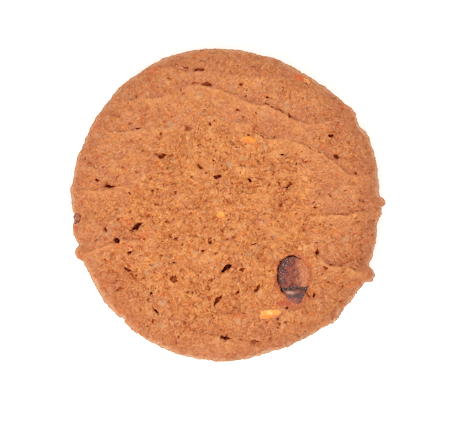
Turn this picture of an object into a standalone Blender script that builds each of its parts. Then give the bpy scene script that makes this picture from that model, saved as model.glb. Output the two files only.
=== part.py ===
"""A round wire-cut fruit cookie, as three closed solids: the baked dough and two bits of dried fruit.

The cookie lies as it was baked. Its flat underside is on z = 0, its ridged and pitted top faces +Z, and the
middle of its outline is over the origin. Lengths are in metres.
"""

import math

import bmesh
import bpy
import numpy as np
from mathutils import Matrix, Vector, noise

MM = 0.001

# Driving sizes of the dough
MEAN_RADIUS = 30.8 * MM
MID_HEIGHT = 10.9 * MM
SHOULDER_HEIGHT = 9.5 * MM
SHOULDER_WIDTH = 5.0 * MM
WIDEST_HEIGHT = 4.2 * MM
FOOT_INSET = 2.1 * MM

# The outline: order, size and bearing of the peak, in degrees, of each slow wave round it
OUTLINE_WAVES = (
    (2, 0.23 * MM, -59.0),
    (3, 0.20 * MM, 5.0),
    (4, 0.13 * MM, 39.0),
    (5, 0.25 * MM, 34.0),
)

# Lobes and notches of the edge: bearing and half width in degrees, how far it stands out
EDGE_LOBES = (
    (5.0, 1.8, -0.28 * MM),
    (20.0, 7.0, 0.25 * MM),
    (25.5, 3.0, 0.38 * MM),
    (30.5, 1.8, -0.32 * MM),
    (36.5, 3.5, 0.60 * MM),
    (52.0, 9.0, -0.20 * MM),
    (70.0, 4.0, 0.30 * MM),
    (82.0, 4.0, 0.22 * MM),
    (116.0, 3.0, -0.18 * MM),
    (131.0, 5.0, 0.16 * MM),
    (139.0, 2.0, -0.18 * MM),
    (148.5, 5.0, 0.38 * MM),
    (161.0, 3.0, 0.18 * MM),
    (174.5, 3.0, 0.45 * MM),
    (184.0, 3.0, -0.60 * MM),
    (189.5, 3.5, 0.28 * MM),
    (194.5, 1.8, -0.22 * MM),
    (206.0, 2.6, -0.20 * MM),
    (217.0, 4.0, 0.16 * MM),
    (228.0, 1.8, -0.38 * MM),
    (236.5, 5.0, 0.28 * MM),
    (268.5, 7.5, 0.50 * MM),
    (278.0, 1.8, 0.30 * MM),
    (287.0, 4.0, -0.18 * MM),
    (292.0, 1.6, 0.20 * MM),
    (313.0, 4.5, 0.62 * MM),
    (329.5, 2.5, 0.45 * MM),
    (352.0, 4.0, -0.36 * MM),
    (357.0, 2.5, 0.30 * MM),
)

# Blunt knobs of the edge: bearing and half width in degrees, how far each stands out
EDGE_KNOBS = (
    (0.9, 1.6, 1.00 * MM),
    (198.7, 2.5, 1.05 * MM),
    (333.7, 2.5, 1.85 * MM),
)

# Ridges dragged across the top by the cutting wire. Each has its height and the x, y points, in millimetres
# and from left to right, of the line where the raised lip breaks off into the groove behind it.
RIDGES = {
    "far_rim": (0.26, ((-13.1, 27.1), (-7.1, 26.4), (3.8, 25.4), (10.7, 24.9), (14.1, 25.4))),
    "far_long": (
        0.42,
        (
            (-21.0, 20.6), (-16.6, 21.0), (-11.5, 21.2), (-8.7, 22.8), (-5.1, 23.5), (-1.2, 22.6),
            (4.8, 20.0), (10.7, 18.6), (13.1, 17.0), (16.6, 15.8), (20.6, 16.6),
        ),
    ),
    "far_left": (0.30, ((-24.6, 14.1), (-20.6, 14.7), (-13.1, 15.0), (-10.1, 15.6))),
    "right_long": (
        0.42,
        (
            (1.8, 16.0), (4.8, 15.6), (8.1, 13.3), (11.7, 12.7), (14.7, 12.1), (17.6, 10.9),
            (20.6, 9.1), (23.0, 7.1), (25.5, 5.7), (28.5, 5.9),
        ),
    ),
    "left_short": (0.22, ((-26.9, 11.1), (-24.9, 11.6), (-22.6, 12.0))),
    "left_inner": (0.22, ((-23.0, 8.6), (-19.0, 9.6), (-16.0, 10.1))),
    "left_middle": (0.32, ((-30.5, 3.2), (-27.9, 2.8), (-24.0, 3.0), (-21.0, 3.4), (-18.0, 3.8))),
    "right_lobe": (0.40, ((16.6, -1.8), (20.6, -1.8), (24.0, -2.2), (26.5, -1.6), (31.1, 0.2))),
    "right_inner": (0.28, ((17.6, 0.8), (20.6, 2.2), (22.0, 3.2), (26.5, 3.8))),
    "left_lobe": (0.40, ((-29.5, -9.7), (-26.9, -9.1), (-24.0, -8.1), (-20.6, -7.1), (-16.6, -6.7))),
    "right_low": (0.46, ((18.0, -10.1), (20.6, -11.7), (24.0, -12.7), (29.1, -13.9))),
    "near_middle": (0.24, ((-1.2, -21.6), (3.8, -21.4), (6.7, -21.6), (9.6, -22.0))),
    "under_fruit": (0.26, ((11.5, -20.6), (12.7, -20.6), (16.6, -19.6))),
    "near_rim": (0.26, ((-5.1, -25.5), (-1.2, -25.9), (3.8, -26.3), (9.1, -26.5))),
}
RIDGE_LIP_LENGTH = 2.4 * MM
RIDGE_GROOVE_LENGTH = 1.3 * MM
RIDGE_BREAK = 0.28 * MM
RIDGE_END_FADE = 2.2 * MM
RIDGE_GROOVE_SHARE = 0.40

# Uneven dough: wavelength and height of each set of lumps
LUMPS = ((9.0 * MM, 0.34 * MM), (3.6 * MM, 0.22 * MM))
FLANK_LUMPS = ((6.0 * MM, 0.30 * MM), (2.5 * MM, 0.14 * MM))

# The largest pits in the top: x, y, length, width and depth in millimetres, turn in degrees
PITS = (
    (0.45, -12.3, 2.7, 1.05, 1.5, 40.0),
    (-1.6, -18.7, 2.8, 0.80, 1.2, 47.0),
    (-10.25, -14.95, 1.6, 1.40, 0.7, 0.0),
    (-17.85, -4.4, 3.3, 0.75, 1.3, 43.0),
    (-21.4, -7.15, 1.2, 0.95, 1.0, 0.0),
    (-12.7, 9.4, 1.5, 1.00, 1.1, -10.0),
    (-7.45, 14.95, 1.8, 1.10, 0.6, 0.0),
    (-2.05, 5.4, 1.1, 0.95, 0.9, 0.0),
    (12.5, 3.9, 1.3, 0.90, 0.8, 50.0),
    (20.85, 13.55, 1.0, 0.80, 0.9, -20.0),
    (21.8, 9.45, 1.3, 0.70, 0.9, -42.0),
    (18.05, -9.4, 1.5, 0.90, 1.0, 90.0),
    (-3.75, 23.75, 2.0, 0.90, 0.8, -10.0),
    (5.95, -27.2, 2.1, 0.90, 0.8, 0.0),
    (0.15, -26.35, 1.5, 0.90, 1.1, 0.0),
    (-5.3, 7.55, 1.4, 0.60, 0.8, -68.0),
    (-14.0, -20.9, 1.6, 0.55, 0.9, -50.0),
    (6.3, -16.5, 2.3, 0.60, 0.9, 47.0),
    (-23.15, 3.65, 1.7, 0.70, 0.9, 5.0),
    (-5.2, 26.8, 2.2, 1.00, 0.8, 0.0),
)

# Bits of peel baked into the top: x, y, length, width and thickness in millimetres, turn in degrees
PEEL_BITS = {
    "peel_far": (4.5, 12.7, 3.3, 1.5, 1.0, -8.0),
    "peel_near": (8.6, -21.6, 5.6, 2.4, 1.2, 12.0),
    "peel_middle": (-1.0, -2.0, 1.9, 1.7, 1.0, -10.0),
    "peel_rim": (16.0, 24.4, 1.4, 1.2, 0.8, 40.0),
}
PEEL_PROUD = 0.22 * MM

# The dried fruit sunk in the top: middle, half sizes, and how its lower lobe narrows and leans
FRUIT_X = 13.3 * MM
FRUIT_Y = -14.85 * MM
FRUIT_HALF_WIDTH = 3.0 * MM
FRUIT_HALF_LENGTH = 4.62 * MM
FRUIT_CROWN = 0.9 * MM
FRUIT_ROOT = 2.8 * MM
FRUIT_SINK = 0.75 * MM
FRUIT_TAPER = 0.24
FRUIT_LEAN = 0.9 * MM
FRUIT_FOLD_Y = -1.9 * MM
FRUIT_FOLD_WIDTH = 0.9 * MM
FRUIT_FOLD_DEPTH = 0.7 * MM
FRUIT_WRINKLE_LENGTH = 1.5 * MM
FRUIT_WRINKLE = 0.22 * MM

# The bit of fruit in the left flank: bearing, distance out, height and half sizes
RIM_FRUIT_BEARING = 185.8
RIM_FRUIT_REACH = 29.2 * MM
RIM_FRUIT_HEIGHT = 6.3 * MM
RIM_FRUIT_HALF = (1.2 * MM, 1.4 * MM, 1.6 * MM)

# How far a pocket in the dough stands clear of the fruit in it
POCKET_GAP = 0.3 * MM

# Spacing of the points that the tilt of the top is measured from
SLOPE_STEP = 1.2 * MM

# Mesh density
GRID_CELLS = 45
SHOULDER_ROWS = 4
UNDERCUT_ROWS = 3

DOUGH_COLOR = (0.62, 0.24, 0.10, 1.0)
FRUIT_COLOR = (0.16, 0.035, 0.022, 1.0)


def smoothstep(t):
    """0 below 0, 1 above 1 and an even S curve between."""
    t = np.clip(t, 0.0, 1.0)
    return t * t * (3.0 - 2.0 * t)


def line_level(points, x):
    """y at x of the smooth curve through a ridge's points."""
    xs, ys = np.array(points).T * MM
    slopes = np.gradient(ys, xs)
    i = int(np.clip(np.searchsorted(xs, x) - 1, 0, len(xs) - 2))
    span = xs[i + 1] - xs[i]
    t = min(max((x - xs[i]) / span, 0.0), 1.0)
    start = (1.0 + 2.0 * t) * (1.0 - t) ** 2 * ys[i] + t * (1.0 - t) ** 2 * span * slopes[i]
    end = t * t * (3.0 - 2.0 * t) * ys[i + 1] - t * t * (1.0 - t) * span * slopes[i + 1]
    return start + end


def ridge_relief(x, y):
    """Height that the dragged ridges add at x, y: a lip on the near side of each line, a groove behind it."""
    relief = 0.0
    for height, points in RIDGES.values():
        left = points[0][0] * MM
        right = points[-1][0] * MM
        fade = smoothstep((x - left) / RIDGE_END_FADE + 0.5) * smoothstep((right - x) / RIDGE_END_FADE + 0.5)
        if fade <= 0.0:
            continue
        past = y - line_level(points, x)
        near_side = 1.0 / (1.0 + math.exp(min(past / RIDGE_BREAK, 50.0)))
        lip = math.exp(min(past, 0.0) / RIDGE_LIP_LENGTH)
        groove = RIDGE_GROOVE_SHARE * math.exp(-max(past, 0.0) / RIDGE_GROOVE_LENGTH)
        relief += fade * height * MM * (near_side * lip - (1.0 - near_side) * groove)
    return relief


def lumps(point, sets):
    """Smooth uneven height at a point, from noise of each wavelength in sets."""
    return sum(height * noise.noise(point / wavelength) for wavelength, height in sets)


def outline_radius(bearing, lobe_share=1.0):
    """Distance from the middle to the outline; lobe_share fades the lobes out towards the foot."""
    radius = MEAN_RADIUS
    for order, size, peak in OUTLINE_WAVES:
        radius += size * math.cos(order * (bearing - math.radians(peak)))
    for peak, half_width, size in EDGE_LOBES:
        off = math.remainder(bearing - math.radians(peak), 2.0 * math.pi)
        radius += lobe_share * size * math.exp(-((off / math.radians(half_width)) ** 2))
    for peak, half_width, size in EDGE_KNOBS:
        off = math.remainder(bearing - math.radians(peak), 2.0 * math.pi)
        radius += lobe_share * size * math.exp(-((off / math.radians(half_width)) ** 4))
    return radius


def top_height(x, y):
    """Height at x, y of the top and, beyond the shoulder line, of the rounded shoulder."""
    outline = outline_radius(math.atan2(y, x))
    radius = math.hypot(x, y)
    reach = min(radius / (outline - SHOULDER_WIDTH), 1.0)
    crown = SHOULDER_HEIGHT + (MID_HEIGHT - SHOULDER_HEIGHT) * (1.0 - reach**2)
    angle = math.asin(min(max(1.0 - (outline - radius) / SHOULDER_WIDTH, 0.0), 1.0))
    drop = (SHOULDER_HEIGHT - WIDEST_HEIGHT) * (1.0 - math.cos(angle))
    flat_share = 1.0 - angle / (math.pi / 2.0)
    return crown - drop + flat_share * (ridge_relief(x, y) + lumps(Vector((x, y, 0.0)), LUMPS))


def on_top(x, y, turn=0.0, lift=0.0):
    """Matrix that lays a piece on the top at x, y: tilted with the surface, turned in it, raised by lift."""
    slope_x = (top_height(x + SLOPE_STEP, y) - top_height(x - SLOPE_STEP, y)) / (2.0 * SLOPE_STEP)
    slope_y = (top_height(x, y + SLOPE_STEP) - top_height(x, y - SLOPE_STEP)) / (2.0 * SLOPE_STEP)
    normal = Vector((-slope_x, -slope_y, 1.0)).normalized()
    tilt = Vector((0.0, 0.0, 1.0)).rotation_difference(normal).to_matrix().to_4x4()
    spot = Vector((x, y, top_height(x, y))) + normal * lift
    return Matrix.Translation(spot) @ tilt @ Matrix.Rotation(math.radians(turn), 4, "Z")


def top_point(a, b):
    """Place on the top of a point of the square grid, whose rings become rings of the cookie."""
    if abs(a) > abs(b):
        reach, turn = a, math.pi / 4.0 * b / a
    elif b:
        reach, turn = b, math.pi / 2.0 - math.pi / 4.0 * a / b
    else:
        return Vector((0.0, 0.0, top_height(0.0, 0.0)))
    bearing = turn if reach > 0.0 else turn + math.pi
    radius = abs(reach) * (outline_radius(bearing) - SHOULDER_WIDTH)
    x = radius * math.cos(bearing)
    y = radius * math.sin(bearing)
    return Vector((x, y, top_height(x, y)))


def shoulder_point(bearing, share):
    """Place on the rounded shoulder, from its line on top at share 0 down to the widest row at 1."""
    radius = outline_radius(bearing) - SHOULDER_WIDTH * (1.0 - math.sin(share * math.pi / 2.0))
    x = radius * math.cos(bearing)
    y = radius * math.sin(bearing)
    spot = Vector((x, y, top_height(x, y)))
    bulge = share * lumps(spot, FLANK_LUMPS)
    return spot + Vector((bulge * math.cos(bearing), bulge * math.sin(bearing), 0.0))


def undercut_point(bearing, share):
    """Place on the lower flank, from the widest row at share 0 down to the flat foot at 1."""
    angle = share * math.pi / 2.0
    radius = outline_radius(bearing, (1.0 - share) ** 2) - FOOT_INSET * (1.0 - math.cos(angle))
    height = WIDEST_HEIGHT * (1.0 - math.sin(angle))
    spot = Vector((radius * math.cos(bearing), radius * math.sin(bearing), height))
    bulge = (1.0 - share) * lumps(spot, FLANK_LUMPS)
    return spot + Vector((bulge * math.cos(bearing), bulge * math.sin(bearing), 0.0))


def finish_object(name, bm, collection, material=None):
    """Turns a bmesh into an object with smooth shading and outward faces."""
    bmesh.ops.recalc_face_normals(bm, faces=bm.faces)
    mesh = bpy.data.meshes.new(name)
    bm.to_mesh(mesh)
    bm.free()
    mesh.shade_smooth()
    obj = bpy.data.objects.new(name, mesh)
    collection.objects.link(obj)
    if material:
        mesh.materials.append(material)
    return obj


def lower_rim(bm, rim, place):
    """Extrudes the open rim by one row and puts the new row at place(bearing). Returns the new rim."""
    made = bmesh.ops.extrude_edge_only(bm, edges=rim)["geom"]
    for vert in (item for item in made if isinstance(item, bmesh.types.BMVert)):
        vert.co = place(math.atan2(vert.co.y, vert.co.x))
    return [item for item in made if isinstance(item, bmesh.types.BMEdge) and item.is_boundary]


def make_dough(collection, material):
    """The baked dough: a warped disc for the top, rows down the flank, and one flat face below."""
    bm = bmesh.new()
    bmesh.ops.create_grid(bm, x_segments=GRID_CELLS, y_segments=GRID_CELLS, size=1.0)
    for vert in bm.verts:
        vert.co = top_point(vert.co.x, vert.co.y)
    rim = [edge for edge in bm.edges if edge.is_boundary]
    for row in range(1, SHOULDER_ROWS + 1):
        share = row / SHOULDER_ROWS
        rim = lower_rim(bm, rim, lambda bearing: shoulder_point(bearing, share))
    for row in range(1, UNDERCUT_ROWS + 1):
        share = row / UNDERCUT_ROWS
        rim = lower_rim(bm, rim, lambda bearing: undercut_point(bearing, share))
    bmesh.ops.edgeloop_fill(bm, edges=rim)
    return finish_object("cookie_body", bm, collection, material)


def lens(bm, place, half_sizes, subdivisions=2):
    """Adds a squashed ball to the bmesh."""
    scale = Matrix.Diagonal((*half_sizes, 1.0))
    bmesh.ops.create_icosphere(bm, subdivisions=subdivisions, radius=1.0, matrix=place @ scale)


def make_pit_cutters(collection):
    """Flattened balls, centred on the top, that the pits are cut with."""
    bm = bmesh.new()
    for x, y, length, width, depth, turn in PITS:
        half_sizes = (length * MM / 2.0, width * MM / 2.0, depth * MM)
        lens(bm, on_top(x * MM, y * MM, turn), half_sizes)
    return finish_object("pit_cutters", bm, collection)


def make_peel_bits(collection):
    """Thin lens-shaped bits of peel, nearly flush with the top, to be fused to the dough."""
    for name, (x, y, length, width, thickness, turn) in PEEL_BITS.items():
        half_sizes = (length * MM / 2.0, width * MM / 2.0, thickness * MM / 2.0)
        bm = bmesh.new()
        lens(bm, on_top(x * MM, y * MM, turn, PEEL_PROUD - half_sizes[2]), half_sizes)
        finish_object(name, bm, collection)


def make_fruit_shape(name, collection, swell, material=None):
    """The sunk dried fruit: a flat crown over a deeper root, a narrower lower lobe, a fold and wrinkles."""
    level = top_height(FRUIT_X, FRUIT_Y) - FRUIT_SINK
    bm = bmesh.new()
    bmesh.ops.create_icosphere(bm, subdivisions=3, radius=1.0)
    for vert in bm.verts:
        way = vert.co.copy()
        x = FRUIT_HALF_WIDTH * way.x * (1.0 + FRUIT_TAPER * way.y) + FRUIT_LEAN * min(way.y, 0.0) ** 2
        y = FRUIT_HALF_LENGTH * way.y
        z = (FRUIT_CROWN if way.z > 0.0 else FRUIT_ROOT) * way.z
        fold = FRUIT_FOLD_DEPTH * math.exp(-(((y - FRUIT_FOLD_Y) / FRUIT_FOLD_WIDTH) ** 2)) * max(way.z, 0.0)
        wrinkle = FRUIT_WRINKLE * noise.noise(Vector((x, y, z)) / FRUIT_WRINKLE_LENGTH)
        spot = Vector((x, y, z - fold)) + way * wrinkle
        vert.co = spot + way * swell + Vector((FRUIT_X, FRUIT_Y, level))
    return finish_object(name, bm, collection, material)


def make_rim_fruit_shape(name, collection, swell, material=None):
    """The small bit of fruit that shows in the left flank."""
    bearing = math.radians(RIM_FRUIT_BEARING)
    x = RIM_FRUIT_REACH * math.cos(bearing)
    y = RIM_FRUIT_REACH * math.sin(bearing)
    spot = Matrix.Translation((x, y, RIM_FRUIT_HEIGHT)) @ Matrix.Rotation(bearing, 4, "Z")
    bm = bmesh.new()
    lens(bm, spot, tuple(half + swell for half in RIM_FRUIT_HALF))
    return finish_object(name, bm, collection, material)


def make_material(name, color, roughness):
    """A plain Principled material."""
    material = bpy.data.materials.new(name)
    material.use_nodes = True
    shader = material.node_tree.nodes["Principled BSDF"]
    shader.inputs["Base Color"].default_value = color
    shader.inputs["Roughness"].default_value = roughness
    shader.inputs["Metallic"].default_value = 0.0
    return material


def make_collection(name):
    """A new collection in the scene."""
    collection = bpy.data.collections.new(name)
    bpy.context.scene.collection.children.link(collection)
    return collection


def fuse(obj, pieces):
    """Joins the collection's pieces to the object with one Boolean union, and removes them."""
    modifier = obj.modifiers.new("fuse", "BOOLEAN")
    modifier.operation = "UNION"
    modifier.operand_type = "COLLECTION"
    modifier.collection = pieces
    modifier.solver = "EXACT"
    shape = obj.evaluated_get(bpy.context.evaluated_depsgraph_get())
    fused = bpy.data.meshes.new_from_object(shape)
    obj.modifiers.clear()
    obj.data = fused
    for piece in list(pieces.objects):
        bpy.data.objects.remove(piece)
    bpy.data.collections.remove(pieces)


def cut(obj, cutter):
    """Cuts the object by a cutter, which stays as a wire guide."""
    cutter.hide_render = True
    cutter.display_type = "WIRE"
    modifier = obj.modifiers.new(cutter.name, "BOOLEAN")
    modifier.operation = "DIFFERENCE"
    modifier.object = cutter
    modifier.solver = "EXACT"


def center_outline(body):
    """Moves everything so that the middle of the cookie's outline is over the origin."""
    bpy.context.view_layer.update()
    corners = np.array([tuple(vert.co) for vert in body.data.vertices])
    middle = (corners.min(axis=0) + corners.max(axis=0)) / 2.0
    for obj in bpy.data.objects:
        obj.location = (-middle[0], -middle[1], 0.0)


def main():
    for obj in list(bpy.data.objects):
        bpy.data.objects.remove(obj)
    cookie = make_collection("cookie")
    cutters = make_collection("cutters")
    peel = make_collection("peel_bits")
    dough = make_material("baked_dough", DOUGH_COLOR, 0.85)
    fruit = make_material("dried_fruit", FRUIT_COLOR, 0.45)

    body = make_dough(cookie, dough)
    make_peel_bits(peel)
    fuse(body, peel)
    cut(body, make_fruit_shape("fruit_pocket", cutters, POCKET_GAP))
    cut(body, make_rim_fruit_shape("rim_fruit_pocket", cutters, POCKET_GAP))
    cut(body, make_pit_cutters(cutters))
    make_fruit_shape("dried_fruit", cookie, 0.0, fruit)
    make_rim_fruit_shape("rim_fruit", cookie, 0.0, fruit)
    center_outline(body)


main()
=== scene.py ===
"""The looks of a round wire-cut fruit cookie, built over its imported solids.

The dough, its bits of peel and its two bits of dried fruit are modelled afresh at a finer scale, each
where its solid is. Lengths are in metres, +Z is up, and the cookie lies on z = 0 with the middle of its
outline over the origin.
"""

import math

import bmesh
import bpy
import numpy as np
from mathutils import Matrix, Vector, noise


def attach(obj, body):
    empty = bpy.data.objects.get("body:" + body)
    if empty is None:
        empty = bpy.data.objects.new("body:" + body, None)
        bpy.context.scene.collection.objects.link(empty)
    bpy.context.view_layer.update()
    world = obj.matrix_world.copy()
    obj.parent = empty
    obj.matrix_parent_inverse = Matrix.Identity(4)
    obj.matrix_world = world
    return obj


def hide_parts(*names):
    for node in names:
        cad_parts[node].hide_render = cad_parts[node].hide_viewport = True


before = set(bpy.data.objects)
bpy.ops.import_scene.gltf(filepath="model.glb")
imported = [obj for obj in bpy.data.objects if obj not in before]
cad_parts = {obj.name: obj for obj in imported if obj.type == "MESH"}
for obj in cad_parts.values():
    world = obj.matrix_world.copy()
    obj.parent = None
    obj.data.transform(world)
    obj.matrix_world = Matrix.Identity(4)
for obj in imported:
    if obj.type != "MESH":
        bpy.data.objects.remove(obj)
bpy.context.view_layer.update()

pieces = []

MM = 0.001

# Without a seed, noise.noise_vector goes by the clock and each run would give other facets
NOISE_SEED = 8
noise.seed_set(NOISE_SEED)

# Sizes of the dough, as in the solids
MEAN_RADIUS = 30.8 * MM
MID_HEIGHT = 10.9 * MM
SHOULDER_HEIGHT = 9.5 * MM
SHOULDER_WIDTH = 5.0 * MM
WIDEST_HEIGHT = 4.2 * MM
FOOT_INSET = 2.1 * MM

# The outline: order, size and bearing of the peak, in degrees, of each slow wave round it
OUTLINE_WAVES = (
    (2, 0.23 * MM, -59.0),
    (3, 0.20 * MM, 5.0),
    (4, 0.13 * MM, 39.0),
    (5, 0.25 * MM, 34.0),
)

# Lobes and notches of the edge: bearing and half width in degrees, how far it stands out
EDGE_LOBES = (
    (5.0, 1.8, -0.28 * MM),
    (20.0, 7.0, 0.25 * MM),
    (25.5, 3.0, 0.38 * MM),
    (30.5, 1.8, -0.32 * MM),
    (36.5, 3.5, 0.60 * MM),
    (52.0, 9.0, -0.20 * MM),
    (70.0, 4.0, 0.30 * MM),
    (82.0, 4.0, 0.22 * MM),
    (116.0, 3.0, -0.18 * MM),
    (131.0, 5.0, 0.16 * MM),
    (139.0, 2.0, -0.18 * MM),
    (148.5, 5.0, 0.38 * MM),
    (161.0, 3.0, 0.18 * MM),
    (174.5, 3.0, 0.45 * MM),
    (184.0, 3.0, -0.60 * MM),
    (189.5, 3.5, 0.28 * MM),
    (194.5, 1.8, -0.22 * MM),
    (206.0, 2.6, -0.20 * MM),
    (217.0, 4.0, 0.16 * MM),
    (228.0, 1.8, -0.38 * MM),
    (236.5, 5.0, 0.28 * MM),
    (268.5, 7.5, 0.50 * MM),
    (278.0, 1.8, 0.30 * MM),
    (287.0, 4.0, -0.18 * MM),
    (292.0, 1.6, 0.20 * MM),
    (313.0, 4.5, 0.62 * MM),
    (329.5, 2.5, 0.45 * MM),
    (352.0, 4.0, -0.36 * MM),
    (357.0, 2.5, 0.30 * MM),
)

# Blunt knobs of the edge: bearing and half width in degrees, how far each stands out
EDGE_KNOBS = (
    (0.9, 1.6, 1.00 * MM),
    (198.7, 2.5, 1.05 * MM),
    (333.7, 2.5, 1.85 * MM),
)

# Ridges dragged across the top by the cutting wire. Each has its height and the x, y points, in millimetres
# and from left to right, of the line where the raised lip breaks off into the groove behind it.
RIDGES = {
    "far_rim": (0.26, ((-13.1, 27.1), (-7.1, 26.4), (3.8, 25.4), (10.7, 24.9), (14.1, 25.4))),
    "far_long": (
        0.42,
        (
            (-21.0, 20.6), (-16.6, 21.0), (-11.5, 21.2), (-8.7, 22.8), (-5.1, 23.5), (-1.2, 22.6),
            (4.8, 20.0), (10.7, 18.6), (13.1, 17.0), (16.6, 15.8), (20.6, 16.6),
        ),
    ),
    "far_left": (0.30, ((-24.6, 14.1), (-20.6, 14.7), (-13.1, 15.0), (-10.1, 15.6))),
    "right_long": (
        0.42,
        (
            (1.8, 16.0), (4.8, 15.6), (8.1, 13.3), (11.7, 12.7), (14.7, 12.1), (17.6, 10.9),
            (20.6, 9.1), (23.0, 7.1), (25.5, 5.7), (28.5, 5.9),
        ),
    ),
    "left_short": (0.22, ((-26.9, 11.1), (-24.9, 11.6), (-22.6, 12.0))),
    "left_inner": (0.22, ((-23.0, 8.6), (-19.0, 9.6), (-16.0, 10.1))),
    "left_middle": (0.32, ((-30.5, 3.2), (-27.9, 2.8), (-24.0, 3.0), (-21.0, 3.4), (-18.0, 3.8))),
    "right_lobe": (0.40, ((16.6, -1.8), (20.6, -1.8), (24.0, -2.2), (26.5, -1.6), (31.1, 0.2))),
    "right_inner": (0.28, ((17.6, 0.8), (20.6, 2.2), (22.0, 3.2), (26.5, 3.8))),
    "left_lobe": (0.40, ((-29.5, -9.7), (-26.9, -9.1), (-24.0, -8.1), (-20.6, -7.1), (-16.6, -6.7))),
    "right_low": (0.46, ((18.0, -10.1), (20.6, -11.7), (24.0, -12.7), (29.1, -13.9))),
    "near_middle": (0.24, ((-1.2, -21.6), (3.8, -21.4), (6.7, -21.6), (9.6, -22.0))),
    "under_fruit": (0.26, ((11.5, -20.6), (12.7, -20.6), (16.6, -19.6))),
    "near_rim": (0.26, ((-5.1, -25.5), (-1.2, -25.9), (3.8, -26.3), (9.1, -26.5))),
}
RIDGE_LIP_LENGTH = 2.4 * MM
RIDGE_GROOVE_LENGTH = 1.3 * MM
RIDGE_BREAK = 0.08 * MM
RIDGE_END_FADE = 2.2 * MM
RIDGE_GROOVE_SHARE = 0.36
RIDGE_WOBBLE = ((3.2 * MM, 0.55 * MM), (1.1 * MM, 0.30 * MM))

# The torn, crumbly part of the top, which is off the middle; round it the wire left the dough smoother
TORN_X = -1.0 * MM
TORN_Y = -4.5 * MM
TORN_RADIUS = 17.0 * MM
TORN_FADE = 6.0 * MM
TORN_WARP = 2.0 * MM

# The rim, darker and rougher: its own darker colour plus painted shade, strongest on the near side against
# the lamp's light. Where it starts, how soon it is full, its mean share, how much that rises to the near side
# and falls to the far side, and the turn of that in radians
NEAR_SIDE_START = 17.0 * MM
NEAR_SIDE_FADE = 9.0 * MM
NEAR_SIDE_SHARE = 0.64
NEAR_SIDE_SWING = 0.36
NEAR_SIDE_TURN = 0.17

# Sizes of the crumb's torn pieces and of its grains
TORN_PIECE_SIZE = 2.1 * MM
GRAIN_SIZE = 0.80 * MM

# Heights in millimetres of the crumb's relief: torn pieces, grains, the cracks round both, ragged lumps and
# hollows. The last two are of the streaks that the wire left.
TORN_PIECE_HEIGHT = 0.17
GRAIN_HEIGHT = 0.22
TORN_CRACK_DEPTH = 0.18
GRAIN_CRACK_DEPTH = 0.13
RAGGED_HEIGHT = 0.08
HOLLOW_DEPTH = 0.36
DRAG_HEIGHT = 0.16
FINE_DRAG_HEIGHT = 0.06

# Uneven dough: wavelength and height of each set of lumps
LUMPS = ((9.0 * MM, 0.34 * MM), (3.6 * MM, 0.22 * MM))
FLANK_LUMPS = ((6.0 * MM, 0.30 * MM), (2.5 * MM, 0.14 * MM))

# The largest pits in the top: x, y, length, width and depth in millimetres, turn in degrees
LARGE_PITS = (
    (0.45, -12.3, 2.1, 1.05, 1.5, 35.0),
    (-1.6, -18.7, 2.4, 0.75, 1.2, 47.0),
    (-10.25, -14.95, 1.6, 1.40, 0.7, 0.0),
    (-17.95, -4.5, 2.4, 0.65, 1.3, 43.0),
    (-21.4, -7.15, 1.2, 0.95, 1.0, 0.0),
    (-12.7, 9.4, 1.5, 1.00, 1.1, -10.0),
    (-7.45, 14.95, 1.8, 1.10, 0.6, 0.0),
    (-2.05, 5.4, 1.1, 0.95, 0.9, 0.0),
    (12.5, 3.9, 1.3, 0.90, 0.8, 50.0),
    (20.85, 13.55, 1.0, 0.80, 0.9, -20.0),
    (21.8, 9.45, 1.3, 0.70, 0.9, -42.0),
    (18.05, -9.4, 1.5, 0.90, 1.0, 90.0),
    (-3.75, 23.75, 2.0, 0.90, 0.8, -10.0),
    (5.95, -27.2, 2.1, 0.90, 0.8, 0.0),
    (0.15, -26.35, 1.5, 0.90, 1.1, 0.0),
    (-5.3, 7.55, 1.4, 0.60, 0.8, -68.0),
    (-14.0, -20.9, 1.6, 0.55, 0.9, -50.0),
    (6.3, -16.5, 2.3, 0.60, 0.9, 47.0),
    (-23.15, 3.65, 1.7, 0.70, 0.9, 5.0),
    (-5.2, 26.8, 2.2, 1.00, 0.8, 0.0),
)

# How dark each of them is painted inside, as shade over its real depth, in the same order
LARGE_PIT_DARKNESS = (
    1.0, 0.75, 0.5, 0.95, 0.9, 0.7, 0.4, 0.8, 0.55, 0.6,
    0.8, 0.75, 0.55, 0.55, 0.95, 0.5, 0.8, 0.65, 0.85, 0.5,
)
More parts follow.
